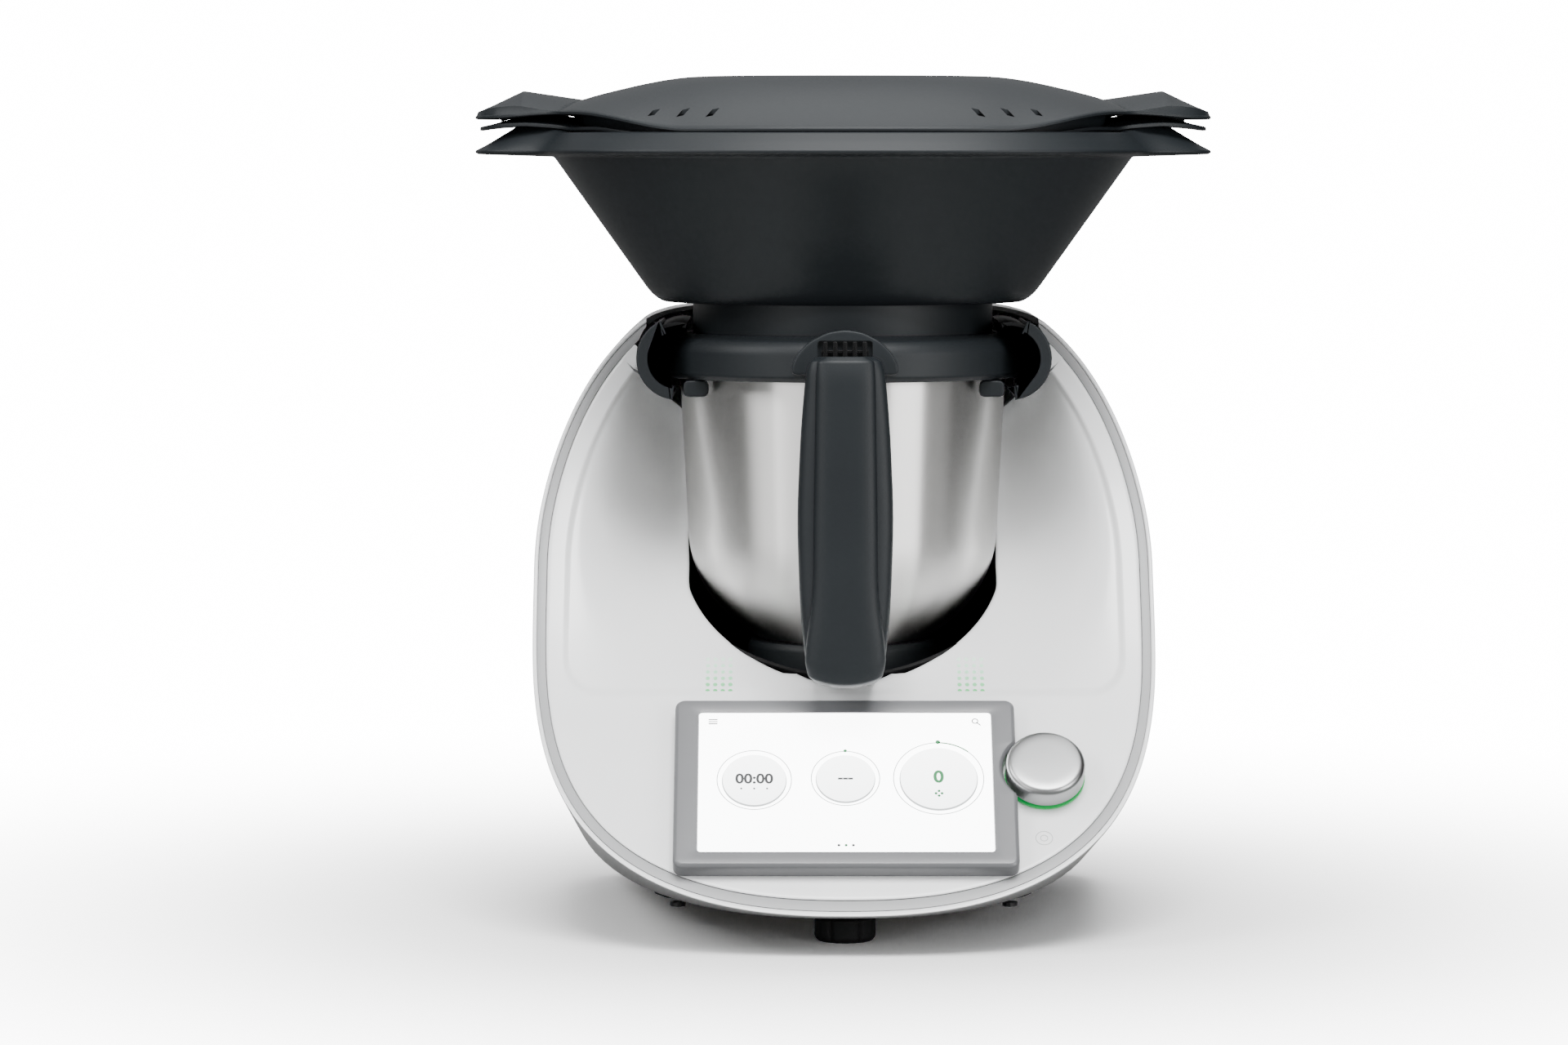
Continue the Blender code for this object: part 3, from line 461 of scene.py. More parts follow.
def rim_y(z):
    """Depth of the front rim: a 45 degree plane below, leaning back in a curve above."""
    t = np.clip((z - 110.0) / 207.0, 0.0, 1.12)
    return np.where(z < 110.0, z - 184.0, -74.0 + 207.0 * (t - 0.472 * t ** 1.8))


def outline_terms(z):
    """How far a height is towards the lower lip and towards the crown, as powers."""
    below = np.clip((WIDEST_Z - z) / (WIDEST_Z - LIP_Z), 0, None) ** 3.5
    above = np.clip((z - WIDEST_Z) / (CROWN_Z - WIDEST_Z), 0, None) ** 1.7
    return below, above


def outline_value(x, z):
    """Superellipse value of the front outline, 1 on the outline itself."""
    below, above = outline_terms(z)
    power = 2.4 + 0.8 * smooth((z - 165.0) / 40.0)
    return (np.abs(x) / BODY_HALF_WIDTH) ** power + below + above


def half_width(z):
    """Half width of the front outline at a height."""
    below, above = (np.clip(term, 0, 1) for term in outline_terms(z))
    return np.where(z < WIDEST_Z, (1 - below) ** (1 / 2.4), (1 - above) ** (1 / 3.2)) * BODY_HALF_WIDTH


def front_y(x, z):
    """The front face: the rim surface, sunk by up to 55 mm towards the bowl."""
    width = np.maximum(half_width(z) - 103.0, 12.0)
    sunk = 1 - smooth((np.abs(x) - 84.0) / width)
    return rim_y(z) + 55.0 * smooth((z - 118.0) / 105.0) * sunk


def body_level(x, y, z):
    """Zero on the outer skin: the outline swept back from the rim, level near the top and 12
    degrees down below, blended with the rounded back, the floor and the flat top."""
    level = z
    for _ in range(30):
        slope = math.tan(math.radians(12)) * (1 - smooth((level - 190.0) / 90.0))
        level = 0.5 * level + 0.5 * (z + (y - rim_y(level)) * slope)
    side = (outline_value(x, level) ** (1 / 2.9) - 1) * 150.0
    back = ((np.abs(x) / 168.0) ** 3.2 + (np.clip(y + 40.0, 0, None) / 203.0) ** 3.2) ** (1 / 3.2)
    walls = [side, (back - 1) * 160.0, FLOOR_Z - z, z - TOP_Z]
    return np.sqrt(sum(np.clip(w + 8.0, 0, None) ** 2 for w in walls)) - 8.0


def halved(low, high, beyond, steps):
    """Halve the gap between two values, again and again, towards where a test turns true."""
    for _ in range(steps):
        middle = (low + high) / 2
        past = beyond(middle)
        high = np.where(past, middle, high)
        low = np.where(past, low, middle)
    return low, high


def solve_radius(point_at, wanted, far=400.0):
    """Halve the distance along rays until the body level is the wanted value."""
    start = np.zeros(point_at(0.0)[0].shape)
    low, high = halved(start, start + far, lambda r: body_level(*point_at(r)) > wanted, 34)
    return (low + high) / 2


def rim_outline(count):
    """Outline of the rim in x and z, by rays from its widest height."""
    a = np.linspace(0, 2 * math.pi, count, endpoint=False)

    def point_at(r):
        z = WIDEST_Z + r * np.sin(a)
        return r * np.cos(a), rim_y(z), z

    radius = solve_radius(point_at, 0.0)
    return np.stack([radius * np.cos(a), WIDEST_Z + radius * np.sin(a)], 1)


def rim_row(outline, distance, depth):
    """The rim outline moved inwards and set back from the rim surface."""
    x, z = inset(outline, distance).T
    return np.stack([x, rim_y(z) + depth, z], 1)


def shell_rows(outline, wanted, shares):
    """Rows of a skin from the rim to the back, along great circles about an inner point."""
    centre = np.array([0.0, 30.0, 140.0])
    x, z = outline.T
    start = np.stack([x, rim_y(z), z], 1) - centre
    start /= np.linalg.norm(start, axis=1)[:, None]
    back = np.array([0.0, 1.0, 0.0])
    angle = np.arccos(np.clip(start @ back, -1, 1))[None, :, None]
    f = np.asarray(shares)[:, None, None]
    ray = (np.sin((1 - f) * angle) * start + np.sin(f * angle) * back) / np.sin(angle)
    radius = solve_radius(lambda r: tuple(centre[i] + r * ray[..., i] for i in range(3)), wanted)
    return centre + radius[..., None] * ray


# ---------------------------------------------------------------- body pieces

def make_cutters():
    """Solids for the openings that pieces share."""
    x, z = np.meshgrid(np.linspace(-200, 200, 101), np.linspace(-10, 340, 71))
    back = np.stack([x, front_y(x, z) + CLEARANCE, z], -1)
    front = np.stack([x, np.full_like(x, -300.0), z], -1)[:, ::-1]
    made = {"front_space": skin("cutter_front_space", np.concatenate([back, front], 1))}
    for name, radius in (("lid_space", LID_SPACE_R), ("lid_space_wide", LID_SPACE_R + 3)):
        made[name] = turned("cutter_" + name, [(0, LEDGE_Z), (radius, LEDGE_Z), (radius, 360), (0, 360)])
    for side, sign in (("left", -1), ("right", 1)):
        hole = arc((sign * ARM_X, ARM_Z), ARM_HOLE_R, 0, 360, 97)[:-1]
        made["arm_" + side] = slab("cutter_arm_" + side, hole, -60, 130, 0.01, upright)
    return made


def floor_outline(margin):
    """Outline of the floor plate, with wide front corners."""
    outline = []
    for sx, y, radius, start in ((1, 120, 6, 0), (-1, 120, 6, 90), (-1, -60, 50, 180), (1, -60, 50, 270)):
        centre = (sx * (100 - radius), y - math.copysign(radius, y))
        outline.append(arc(centre, radius + margin, start, start + 90, 17))
    return np.concatenate(outline)


def make_body_shell(cutters):
    """Outer shell: the rim outline swept back to the rounded rear, 2.4 mm thick, with a rounded
    lip, the bowl's opening, seven vent slots, and holes for the floor plate and the cord."""
    outline = rim_outline(300)
    outer = shell_rows(outline, 0.0, np.linspace(0.012, 0.985, 52))
    inner = shell_rows(outline, -SHELL, np.linspace(0.03, 0.985, 22))
    lip = [rim_row(outline, d, depth) for d, depth in
           ((0.1, 0.9), (0.35, 0.35), (0.9, 0.0), (1.5, 0.0), (2.05, 0.35), (2.3, 0.9))]
    shell = skin("body_shell", np.concatenate([outer[::-1], np.stack(lip), inner]))
    slots = []
    for k in range(-3, 4):
        slot = rounded_box(k * 12 - 3, k * 12 + 3, 62, 98, 3)
        slots.append(slab("cutter_vent_%d" % (k + 3), slot, 130, 180, 0.01, upright))
    cord = slab("cutter_cord", arc((60, 40), 9.4, 0, 360, 65)[:-1], 135, 175, 0.01, upright)
    floor = slab("cutter_floor", floor_outline(0.6), 5, 20, 0.01)
    foot = turned("cutter_foot", [(0, 5), (9.4, 5), (9.4, 25), (0, 25)], centre=(0, -100), count=64)
    carved(shell, cutters["lid_space_wide"], floor, cord, foot, *slots)
    fit(shell, "base", "white_shell", "rear_housing")

    band_rows = [rim_row(outline, d, depth) for d, depth in ((2.5, 0.7), (6.9, 0.7), (6.9, 3.5), (2.5, 3.5))]
    band = skin("rim_band", eased(band_rows, 0.5, closed=True, parts=2), rows_meet=True)
    carved(band, cutters["lid_space_wide"], cutters["arm_left"], cutters["arm_right"])
    fit(band, "base", "grey_trim", "trim_band")


def in_opening(x, z):
    """Whether a place on the front face is open to the bowl's well or a lock arm's tunnel."""
    across = np.hypot(x, front_y(x, z) - AXIS_Y)
    snug = WELL_LOW_R + (bowl_radius(z) + 1.2 - WELL_LOW_R) * smooth((z - 168.0) / 24.0)
    well = (across < snug) & (z < 286)
    brow = 130.2 + 0.0052 * np.clip(np.abs(x) - 24, 0, None) ** 2
    notch = 124.6 + 5.6 * (np.abs(x) / 24.5) ** 2
    well &= z > np.minimum(brow, notch)
    lid = (z > LEDGE_Z) & (across < LID_SPACE_R)
    tunnel = np.hypot(np.abs(x) - ARM_X, z - ARM_Z) < ARM_HOLE_R
    return well | lid | tunnel


def front_strip(outline, count):
    """Directions of the front face's horseshoe with the radii of its inner and outer edges."""
    edge = inset(outline, 7.0) - (0.0, WIDEST_Z)
    around = np.unwrap(np.arctan2(edge[:, 1], edge[:, 0]))
    radius = np.hypot(*edge.T)

    def reach_out(a):
        turn = np.mod(a - around[0], 2 * math.pi) + around[0]
        return np.interp(turn, np.append(around, around[0] + 2 * math.pi), np.append(radius, radius[0]))

    def is_open(r, a):
        return in_opening(r * np.cos(a), WIDEST_Z + r * np.sin(a))

    def reach_in(a):
        steps = np.linspace(1, 0, 1200)[:, None] * reach_out(a)
        first = np.argmax(is_open(steps, a), axis=0)
        near = np.take_along_axis(steps, first[None], 0)[0]
        return halved(near, near + reach_out(a) / 1199, lambda r: ~is_open(r, a), 20)[0]

    scan = np.radians(np.linspace(-90, 90, 1801))
    width = reach_out(scan) - reach_in(scan)
    end = scan[np.argmax(width < 2.0)]
    directions = np.linspace(end, -math.pi - end, count)
    return directions, reach_in(directions), reach_out(directions)


def recess_depth(z, from_edge):
    """Depth of the shallow recess round the bowl: 2.5 mm, 9 mm inside the face's edge and
    above the panel, with its lower corners rounded by 17 mm."""
    a = np.clip(17.0 - (from_edge - 9.0), 0, None)
    b = np.clip(17.0 - (z - 120.5), 0, None)
    return 2.5 * smooth((17.0 - np.hypot(a, b)) / 3.2)


def make_front_face(outline):
    """Front face: a horseshoe between the bowl's opening and the rim, its sunk surface given by
    front_y(), with rounded edges, a shallow recess and a back wall 3 mm behind."""
    a, inner, outer = front_strip(outline, 760)
    width = outer - inner
    share = np.minimum(1, width / 45.0)
    edge_in = np.array([0.0, 0.15, 0.5, 1.0, 2.0, 4.0, 6.5])
    edge_drop = np.array([2.4, 1.3, 0.5, 0.12, 0.0, 0.0, 0.0])
    distances = [share * d for d in edge_in]
    drops = [d + 0 * a for d in edge_drop]
    start = share * 8.5
    stop = width - share * 3.4
    for f in np.linspace(0, 1, 74):
        distances.append(start + (stop - start) * f)
        drops.append(0 * a)
    for d, drop in ((2.2, 0.0), (1.3, 0.12), (0.6, 0.5), (0.15, 1.2), (0.0, 2.2)):
        distances.append(width - share * d)
        drops.append(drop + 0 * a)
    distances = np.stack(distances)
    r = outer - distances
    x, z = r * np.cos(a), WIDEST_Z + r * np.sin(a)
    y = front_y(x, z) + np.stack(drops) + recess_depth(z, distances)
    front = np.stack([x, y, z], -1)
    back_rows = []
    for f in np.linspace(1, 0, 16):
        r = outer - width * f
        bx, bz = r * np.cos(a), WIDEST_Z + r * np.sin(a)
        back_rows.append(np.stack([bx, front_y(bx, bz) + FRONT_WALL + 2.4, bz], -1))
    face = skin("front_face", np.concatenate([front, np.stack(back_rows)]), rows_meet=True,
                columns_meet=False, sharp=50)
    window = slab("cutter_window", rounded_rectangle(160, 96, 4), -20, 20, 0.01, on_panel)
    hole = turned("cutter_knob", [(0, -20), (5.5, -20), (5.5, 20), (0, 20)], 0, KNOB, on_panel, 48)
    carved(face, window, hole, sharp=50)
    fit(face, "base", "white_shell", "front_housing")


def make_bowl_lining(cutters):
    """Well that holds the bowl: a turned cup with a ledge for the lid, trimmed to the front face.
    Its black finish is painted shade: it stands for the deep shadow in the gap round the bowl.
    """
    wall = 2.5
    inside = [(16, 104), (62, 104), (WELL_LOW_R, 150), (WELL_LOW_R, 190), (WELL_R, 276),
              (LID_SPACE_R, LEDGE_Z), (LID_SPACE_R, 306)]
    outside = [(LID_SPACE_R + wall, 306), (LID_SPACE_R + wall, LEDGE_Z - wall), (WELL_R + wall, 276 - wall),
               (WELL_LOW_R + wall, 190), (WELL_LOW_R + wall, 150), (62, 104 - wall), (16, 104 - wall)]
    lining = turned("bowl_lining", inside + outside, 1.2, parts=2)
    slot = skin("cutter_slot", box_points((-9, AXIS_Y + 40, 90), (9, AXIS_Y + 50, 120)))
    carved(lining, cutters["front_space"], cutters["arm_left"], cutters["arm_right"], slot)
    # painted shade: the lining takes the black finish so that the gap round the bowl shows as deep shadow
    fit(lining, "base", "black_plastic", "bowl_well")


def make_underside():
    """Rubber feet with a raised tread, and the ribbed gland that the cord would enter."""
    tread = [(0, 0.6), (10.5, 0.6), (11, 0), (13.8, 0), (15.5, 2), (15.5, 11.7), (6, 11.7), (6, 14.6),
             (0, 14.6)]
    a = np.linspace(0, 2 * math.pi, ROUND_STEPS, endpoint=False)
    for side, (x, y) in (("front", (0, -100)), ("rear_left", (-90, 108)), ("rear_right", (90, 108))):
        rows = eased([circle(r, h, (0, 0)) for r, h in tread], [0, 0.3, 0.3, 0.5, 1.2, 0.8, 0.2, 0.2, 0])
        if side == "front":
            for notch in (-0.5, 0.5):
                dip = 1.3 * np.exp(-((a - 1.5 * math.pi - notch) / 0.07) ** 2)
                outer = smooth((np.hypot(rows[..., 0], rows[..., 1]) - 12.5) / 2.0)
                rows[..., :2] *= (1 - dip * outer / 15.5)[..., None]
        foot = skin("foot_pad_" + side, rows + (x, y, 0))
        fit(foot, "base", "rubber", "foot_" + side)
    ribs = [(9, 149.9), (9, 152)] + [(9 - 1.2 * (k % 2), 153 + k * 1.2) for k in range(8)] + [(8.4, 162.9)]
    profile = [(3.8, 149.9)] + ribs + [(3.8, 162.9)]
    gland = turned("cord_gland", profile, 0.35, centre=(60, 40), place=upright, count=72, parts=2)
    fit(gland, "base", "black_plastic", "cord_inlet")


# ---------------------------------------------------------------- bowl pieces

def bowl_radius(z):
    """Outer radius of the steel bowl: a slight taper on an elliptical bottom."""
    round_part = 81.5 * np.sqrt(np.clip(1 - ((200 - z) / 68) ** 2, 0, 1))
    return np.where(z >= 200, 81.6 + (z - 200) * (85.7 - 81.6) / 77, round_part)


def make_bowl():
    """Steel bowl, spun from sheet: tapered wall, elliptical bottom, rolled flange at the top."""
    bottom = 133.4 + (200 - 133.4) * (1 - np.cos(np.linspace(0.12, math.pi / 2, 34)))
    wall = np.linspace(203, 285, 12)
    outside = [(14.2, 133.4)] + [(float(bowl_radius(z)), z) for z in np.concatenate([bottom, wall])]
    rim = [(86.0, 287.6), (86.4, 288.6), (86.4, 291.5), (85.9, 292.0), (85.1, 292.0), (84.6, 291.4)]
    down = np.concatenate([wall[::-1], bottom[::-1]])
    inside = [(float(bowl_radius(z)) - 1.2, z + 0.9) for z in down] + [(14.2, 134.9)]
    bowl = turned("steel_bowl", outside + rim + inside, count=220)
    fit(bowl, "base", "steel", "mixing_bowl")

    foot_profile = [(36, 107), (50, 107), (50, 139), (48.6, 142), (float(bowl_radius(142)) + 0.9, 142),
                    (float(bowl_radius(138)) + 0.9, 138), (36, 131.6)]
    foot = turned("bowl_foot_ring", foot_profile, (0.5, 1, 1, 0.4, 0, 0, 0), parts=3)
    fit(foot, "base", "slate_plastic", "bowl_base")


def make_bowl_lid():
    """Lid: a moulded disc with a rounded rim, a sealing skirt and a raised funnel round its hole."""
    profile = [(98, 286), (98, 296.5), (96.8, 299.6), (94.2, 302.6), (81.5, 304.5), (81, 302.2), (74, 302.2),
               (73.5, 307), (70, 307.6), (32, 299.5), (30, 298), (30, 294.5), (32, 294.5), (68, 302),
               (72, 299.4), (87.2, 299.4), (87.2, 281.5), (96, 281.5), (98, 284)]
    radii = (1.2, 1.4, 1.4, 1.6, 0.6, 0.4, 0.5, 1, 1, 2, 0.6, 0.4, 0.4, 2, 0.5, 0.5, 0.6, 0.8, 0.8)
    lid = turned("lid_plate", profile, radii, count=220)
    fit(lid, "base", "slate_plastic", "bowl_lid")

    half = [(27, 286), (27, 291), (24, 297), (18, 303), (9, 307.6), (0, 309)]
    arch = rounded_polygon(half + [(-a, b) for a, b in half[-2::-1]], 3)
    hood = slab("lid_hood_arch", arch, -81, -73.6, 1.1, upright)
    carved(hood, slab("cutter_throat", rounded_box(-14, 14, 292, 303.5, 2), -90, -78.5, 0.01, upright))
    fit(hood, "base", "slate_plastic", "lid_hood")
    for k in range(-2, 3):
        rib = rounded_box(k * 5 - 1.1, k * 5 + 1.1, 292.6, 303, 0.6)
        rib = slab("hood_rib_%d" % (k + 3), rib, -81.6, -78.9, 0.4, upright)
        fit(rib, "base", "black_plastic", *(["lid_grille"] if k == -2 else []))
    bar = slab("hood_rib_bar", rounded_box(-12, 12, 297, 298.6, 0.4), -80.4, -78.8, 0.3, upright)
    fit(bar, "base", "black_plastic")


def oval(half_x, half_y, power, z, centre_y, count=96):
    """Level superellipse ring."""
    t = np.linspace(0, 2 * math.pi, count, endpoint=False)
    c, s = np.cos(t), np.sin(t)
    x = half_x * np.sign(c) * np.abs(c) ** (2 / power)
    y = centre_y + half_y * np.sign(s) * np.abs(s) ** (2 / power)
    return np.stack([x, y, z + 0 * t], 1)


def keeled(rows):
    """The handle's lower end bent into a keel: its sides rise by up to 6 mm."""
    rows[..., 2] += 6.2 * (rows[..., 0] / 24.0) ** 2 * smooth((156.0 - rows[..., 2]) / 26.0)
    return rows


def make_handle():
    """Handle: a bowed grip bar in front of a wider back shell, with arms to the bowl."""
    shell = [(129.5, 14, 5), (131, 18, 8), (140, 20.3, 9), (170, 23, 9), (215, 24.5, 9), (260, 22.5, 9),
             (288, 20, 9), (294, 18, 8), (296, 14, 5)]
    rows = [oval(width, depth, 3.6, z, -99.2) for z, width, depth in shell]
    back = skin("handle_back_shell", keeled(eased(rows, [0, 1, 6, 12, 16, 12, 5, 1, 0])))
    fit(back, "base", "slate_plastic", "bowl_handle")
    grip = [(129.2, 15, 3), (131, 18.8, 5.2), (138, 20.5, 6.5), (152, 20, 6.8), (176, 16.6, 6.8),
            (215, 16.4, 6.8), (262, 15.6, 6.8), (286, 15.2, 6.8), (294, 14.4, 5.4), (296.3, 11, 3)]
    rows = [oval(width, depth, 3.0, z, -105.1) for z, width, depth in grip]
    bar = skin("handle_grip_bar", keeled(eased(rows, [0, 1, 4, 10, 14, 14, 14, 5, 1, 0])))
    fit(bar, "base", "slate_plastic")
    lower = [(-96, 131.5), (-25.9, 131.5), (-25.9, 133.2), (-31.4, 143), (-96, 143)]
    upper = [(-96, 262), (-61.9, 262), (-61.9, 280.6), (-96, 280.6)]
    for name, wide, side_view in (("handle_lower_arm", 17, lower), ("handle_upper_arm", 16, upper)):
        arm = slab(name, rounded_polygon(side_view, 1.0), -wide, wide, 1.0, lambda p: p[..., [2, 0, 1]])
        fit(arm, "base", "slate_plastic")


# ---------------------------------------------------------------- locks and panel

def sector(centre, inner, outer, start, end):
    """Outline of a ring sector seen from the front, in degrees."""
    return np.concatenate([arc(centre, outer, start, end, 48), arc(centre, inner, end, start, 48)])


def make_locks():
    """Lock on each side: a fixed half-round cover, and a jaw that turns inside it over the lid."""
    for side, sign in (("left", -1), ("right", 1)):
        def facing(start, end):
            return (start, end) if sign < 0 else (180 - start, 180 - end)

        centre = (sign * ARM_X, ARM_Z)
        jaw = "lock_" + side
        for name, inner, outer, start, end, front, back, edge, body, finish, nodes in (
                ("_lock_cover", 19.3, 20.6, 115, 262, -34, 50, 0.3, "base", "slate_plastic",
                 ["lock_cover_" + side]),
                ("_cover_flange", 14.2, 21.4, 114, 263, -36.5, -33.4, 0.9, "base", "slate_plastic", []),
                ("_jaw_arm", 16.2, 18.8, 75, 178, -33.2, 85, 0.5, jaw, "black_plastic",
                 ["lock_jaw_" + side]),
                ("_jaw_web", 3.0, 18.5, 77, 176, 84, 88.5, 0.4, jaw, "black_plastic", [])):
            outline = sector(centre, inner, outer, *facing(start, end))
            fit(slab(side + name, outline, front, back, edge, upright), body, finish, *nodes)
        stub = [(0, 84.5), (5, 84.5), (5, 100.5), (0, 100.5)]
        axle = turned(side + "_jaw_axle", stub, 0.5, centre=centre, place=upright, count=48)
        fit(axle, jaw, "black_plastic")
        block = rounded_box(*sorted((sign * 83.2, sign * 70)), 272.5, 281.1, 3.5)
        rest = slab(side + "_lid_rest", block, -33, -26, 1.2, upright)
        fit(rest, "base", "slate_plastic", "lid_rest_" + side)


def make_panel():
    """Tilted panel: lacquered bezel with a chamfer and a bite for the knob, and the lit screen."""
    outer = rounded_rectangle(173.0, 106.6, 5, 60)
    reach = np.sqrt(np.clip(21.5 ** 2 - (outer[:, 1] - KNOB[1]) ** 2, 0, None))
    bitten = (reach > 0) & (outer[:, 0] > KNOB[0] - reach)
    outer[:, 0] = np.where(bitten, KNOB[0] - reach, outer[:, 0])
    inner = rounded_rectangle(149.0, 88.8, 2, 60)
    lip = inset(outer, 1.6)
    rows = [lifted(outer, 0.6), lifted(outer, 7.6), lifted(lip, 9.1), lifted(inner, 9.1), lifted(inner, 0.6)]
    rows = eased(rows, (0.2, 0.7, 0.7, 0.3, 0.1), closed=True, parts=3)
    bezel = skin("panel_bezel", on_panel(rows), rows_meet=True)
    fit(bezel, "base", "bezel_grey", "display_bezel")
    screen = slab("panel_screen", rounded_rectangle(148.4, 88.2, 1.7), 5.5, 8.8, 0.3, on_panel)
    fit(screen, "base", "screen_glass", "touch_screen")


def disc(name, centre, radius, low, high, finish, inner=0.0):
    """Thin disc or ring printed on the screen."""
    profile = [(radius, low), (radius, high), (inner, high), (inner, low)]
    if not inner:
        profile = [(0, low), (radius, low), (radius, high), (0, high)]
    fit(turned(name, profile, 0, centre, on_panel, 96), "base", finish)


def printed_arc(name, centre, inner, outer, start, end, low, high, finish):
    """Part of a printed ring."""
    outline = np.concatenate([arc(centre, outer, start, end), arc(centre, inner, end, start)])
    fit(slab(name, outline, low, high, 0.004, on_panel, 1), "base", finish)


def printed_text(name, text, centre, size, low, high, finish):
    """Numerals printed on the screen, about a centre."""
    drawing = bpy.data.curves.new(name, "FONT")
    drawing.body = text
    drawing.size = size
    drawing.align_x = "CENTER"
    drawing.align_y = "CENTER"
    drawing.extrude = (high - low) / 2
    drawing.offset = 0.03 * size
    holder = placed(name + "_drawing", drawing)
    mesh = evaluated(holder)
    bpy.data.objects.remove(holder)
    points = np.zeros(len(mesh.vertices) * 3)
    mesh.vertices.foreach_get("co", points)
    points = points.reshape(-1, 3) + (*centre, (low + high) / 2)
    mesh.vertices.foreach_set("co", (on_panel(points) * MM).ravel())
    mesh.update()
    fit(placed(name, mesh), "base", finish)


def make_screen_print():
    """What the screen shows: three round dials, a menu mark, a search mark and page dots."""
    base, face, top = 8.8, 8.86, 8.92
    for name, u, v, r in (("time", -46, 1, 19), ("heat", 0, 2, 17.5), ("speed", 47, 2, 23)):
        disc("dial_ring_" + name, (u, v), r, base, face, "dial_ring", r - 0.5)
        disc("dial_shadow_" + name, (u, v - 0.8), r * 0.86, base, face, "dial_ring")
        disc("dial_face_" + name, (u, v), r * 0.84, base, top, "dial_face")
    digits = {"time": ("00:00", (-46, 1.4), 8.6, "dark_print"), "heat": ("---", (0, 2.4), 8.0, "dark_print"),
              "speed": ("0", (47, 2.6), 10.5, "green_print")}
    for name, (text, centre, size, finish) in digits.items():
        printed_text("dial_numerals_" + name, text, centre, size, top, top + 0.05, finish)
    for k in (-1, 0, 1):
        disc("dial_unit_mark_%d" % (k + 2), (-46 + 6.5 * k, -4.6), 0.55, top, top + 0.05, "dark_print")
    for k, (du, dv) in enumerate(((1.5, 0), (0, 1.5), (-1.5, 0), (0, -1.5))):
        disc("speed_blade_mark_%d" % (k + 1), (47 + du, -7.6 + dv), 0.75, top, top + 0.05, "green_print")
    disc("heat_marker", (0, 19.6), 0.9, base, top, "green_print")
    disc("speed_marker", (47, 25.2), 1.2, base, top, "green_print")
    printed_arc("speed_arc", (47, 2), 22.4, 23.1, 48, 90, base, top, "green_print")
    for k in range(3):
        bar = np.array([(-69.4, 39.4), (-64.8, 39.4), (-64.8, 40.0), (-69.4, 40.0)]) - (0, 1.3 * k)
        fit(slab("menu_mark_%d" % (k + 1), bar, base, top, 0.004, on_panel, 1), "base", "dark_print")
    disc("search_ring", (66.2, 38.8), 1.7, base, top, "dark_print", 1.15)
    tail = [(67.2, 37.4), (67.6, 37.8), (69.2, 36.2), (68.8, 35.8)]
    fit(slab("search_tail", tail, base, top, 0.004, on_panel, 1), "base", "dark_print")
    for k, finish in ((-1, "dark_print"), (0, "green_print"), (1, "dark_print")):
        disc("page_dot_%d" % (k + 2), (3.6 * k, -40.2), 0.75, base, top, finish)


def make_knob():
    """Selector knob: a turned aluminium cap with a crowned top, over a ring lit green."""
    body = [(0, 14.6), (15, 14.45), (18.4, 14.0), (KNOB_R, 12.2), (KNOB_R, 3.0), (17.5, 3.0), (17.5, 10),
            (0, 10)]
    knob = turned("selector_knob", body, (0, 3, 1.2, 1.4, 0.4, 0.3, 0.3, 0), KNOB, on_panel, 144)
    fit(knob, "knob", "aluminium", "control_knob")
    ring = [(14, 0.4), (20.3, 0.4), (20.3, 1.4), (14, 1.4)]
    glow = turned("knob_glow_ring", ring, 0.3, KNOB, on_panel, 144)
    fit(glow, "base", "green_light", "knob_light")
    touch = (KNOB[0] - 1.5, KNOB[1] - 38)
    for k, (radius, inner) in enumerate(((4.4, 4.0), (2.0, 1.6))):
        disc("touch_mark_%d" % (k + 1), touch, radius, 0.02, 0.12, "faint_print", inner)


def make_status_dots():
    """Two grids of lights that shine through the white face, fading upwards. Each is a flat cone
    of 12 sides that stands just proud of the face, closed behind."""
    sides = 12
    a = np.linspace(0, 2 * math.pi, sides, endpoint=False)
    for side, sign, start in (("left", -1, 58.6), ("right", 1, 59.4)):
        points, faces = [], []
        for column in range(4):
            for level in range(6):
                x = sign * (start + 3.9 * column)
                z = 122.6 + 2.9 * level
                y = float(front_y(x, z) + recess_depth(z, 40.0))
                r = 1.2 - 0.06 * level
                dx, dz = r * np.cos(a), 0.75 * r * np.sin(a)
                lean = float(front_y(x, z + 0.5) - front_y(x, z - 0.5))
                ring = np.stack([x + dx, y + lean * dz - 0.12, z + dz], 1)
                k = len(points)
                points += [*ring, (x, y - 0.2, z), *(ring + (0, 0.3, 0))]
                behind = k + sides + 1
                for i in range(sides):
                    j = (i + 1) % sides
                    faces.append((k + i, k + j, k + sides))
                    faces.append((k + i, behind + i, behind + j, k + j))
                faces.append([behind + i for i in range(sides)])
        name = "status_dots_" + side
        fit(placed(name, meshed(name, points, faces)), "base", "status_dots")


# ---------------------------------------------------------------- steamer

def directions():
    """Directions round the steamer, closer together towards its end wings."""
    t = np.linspace(0, 2 * math.pi, STEAMER_STEPS, endpoint=False)
    return t - 0.25 * np.sin(2 * t)


def reach(half_x, half_y, power=OVAL):
    """Distance from the axis to a superellipse along each direction."""
    a = directions()
    return (np.abs(np.cos(a) / half_x) ** power + np.abs(np.sin(a) / half_y) ** power) ** (-1 / power)


def winged(rim, tip, half_depth=52.0):
    """Reach of an oval rim with a wing at each end, blended where they meet."""
    return (reach(*rim) ** 24 + reach(tip, half_depth, 4.0) ** 24) ** (1 / 24)


def plan(distance):
    """Plan position of the points at a distance along the directions, from the axis."""
    a = directions()
    return distance * np.cos(a), distance * np.sin(a)


def level_ring(distance, z):
    """Points at a distance along the directions; z is a height or one height per point."""
    x, v = plan(distance)
    return np.stack([x, v + AXIS_Y, z + 0 * x], 1)


def oval_rows(*rows):
    """Level rings, each with its corner radius, from half length, half depth, power, height, radius."""
    return [(level_ring(reach(half_x, half_y, power), z), radius)
            for half_x, half_y, power, z, radius in rows]


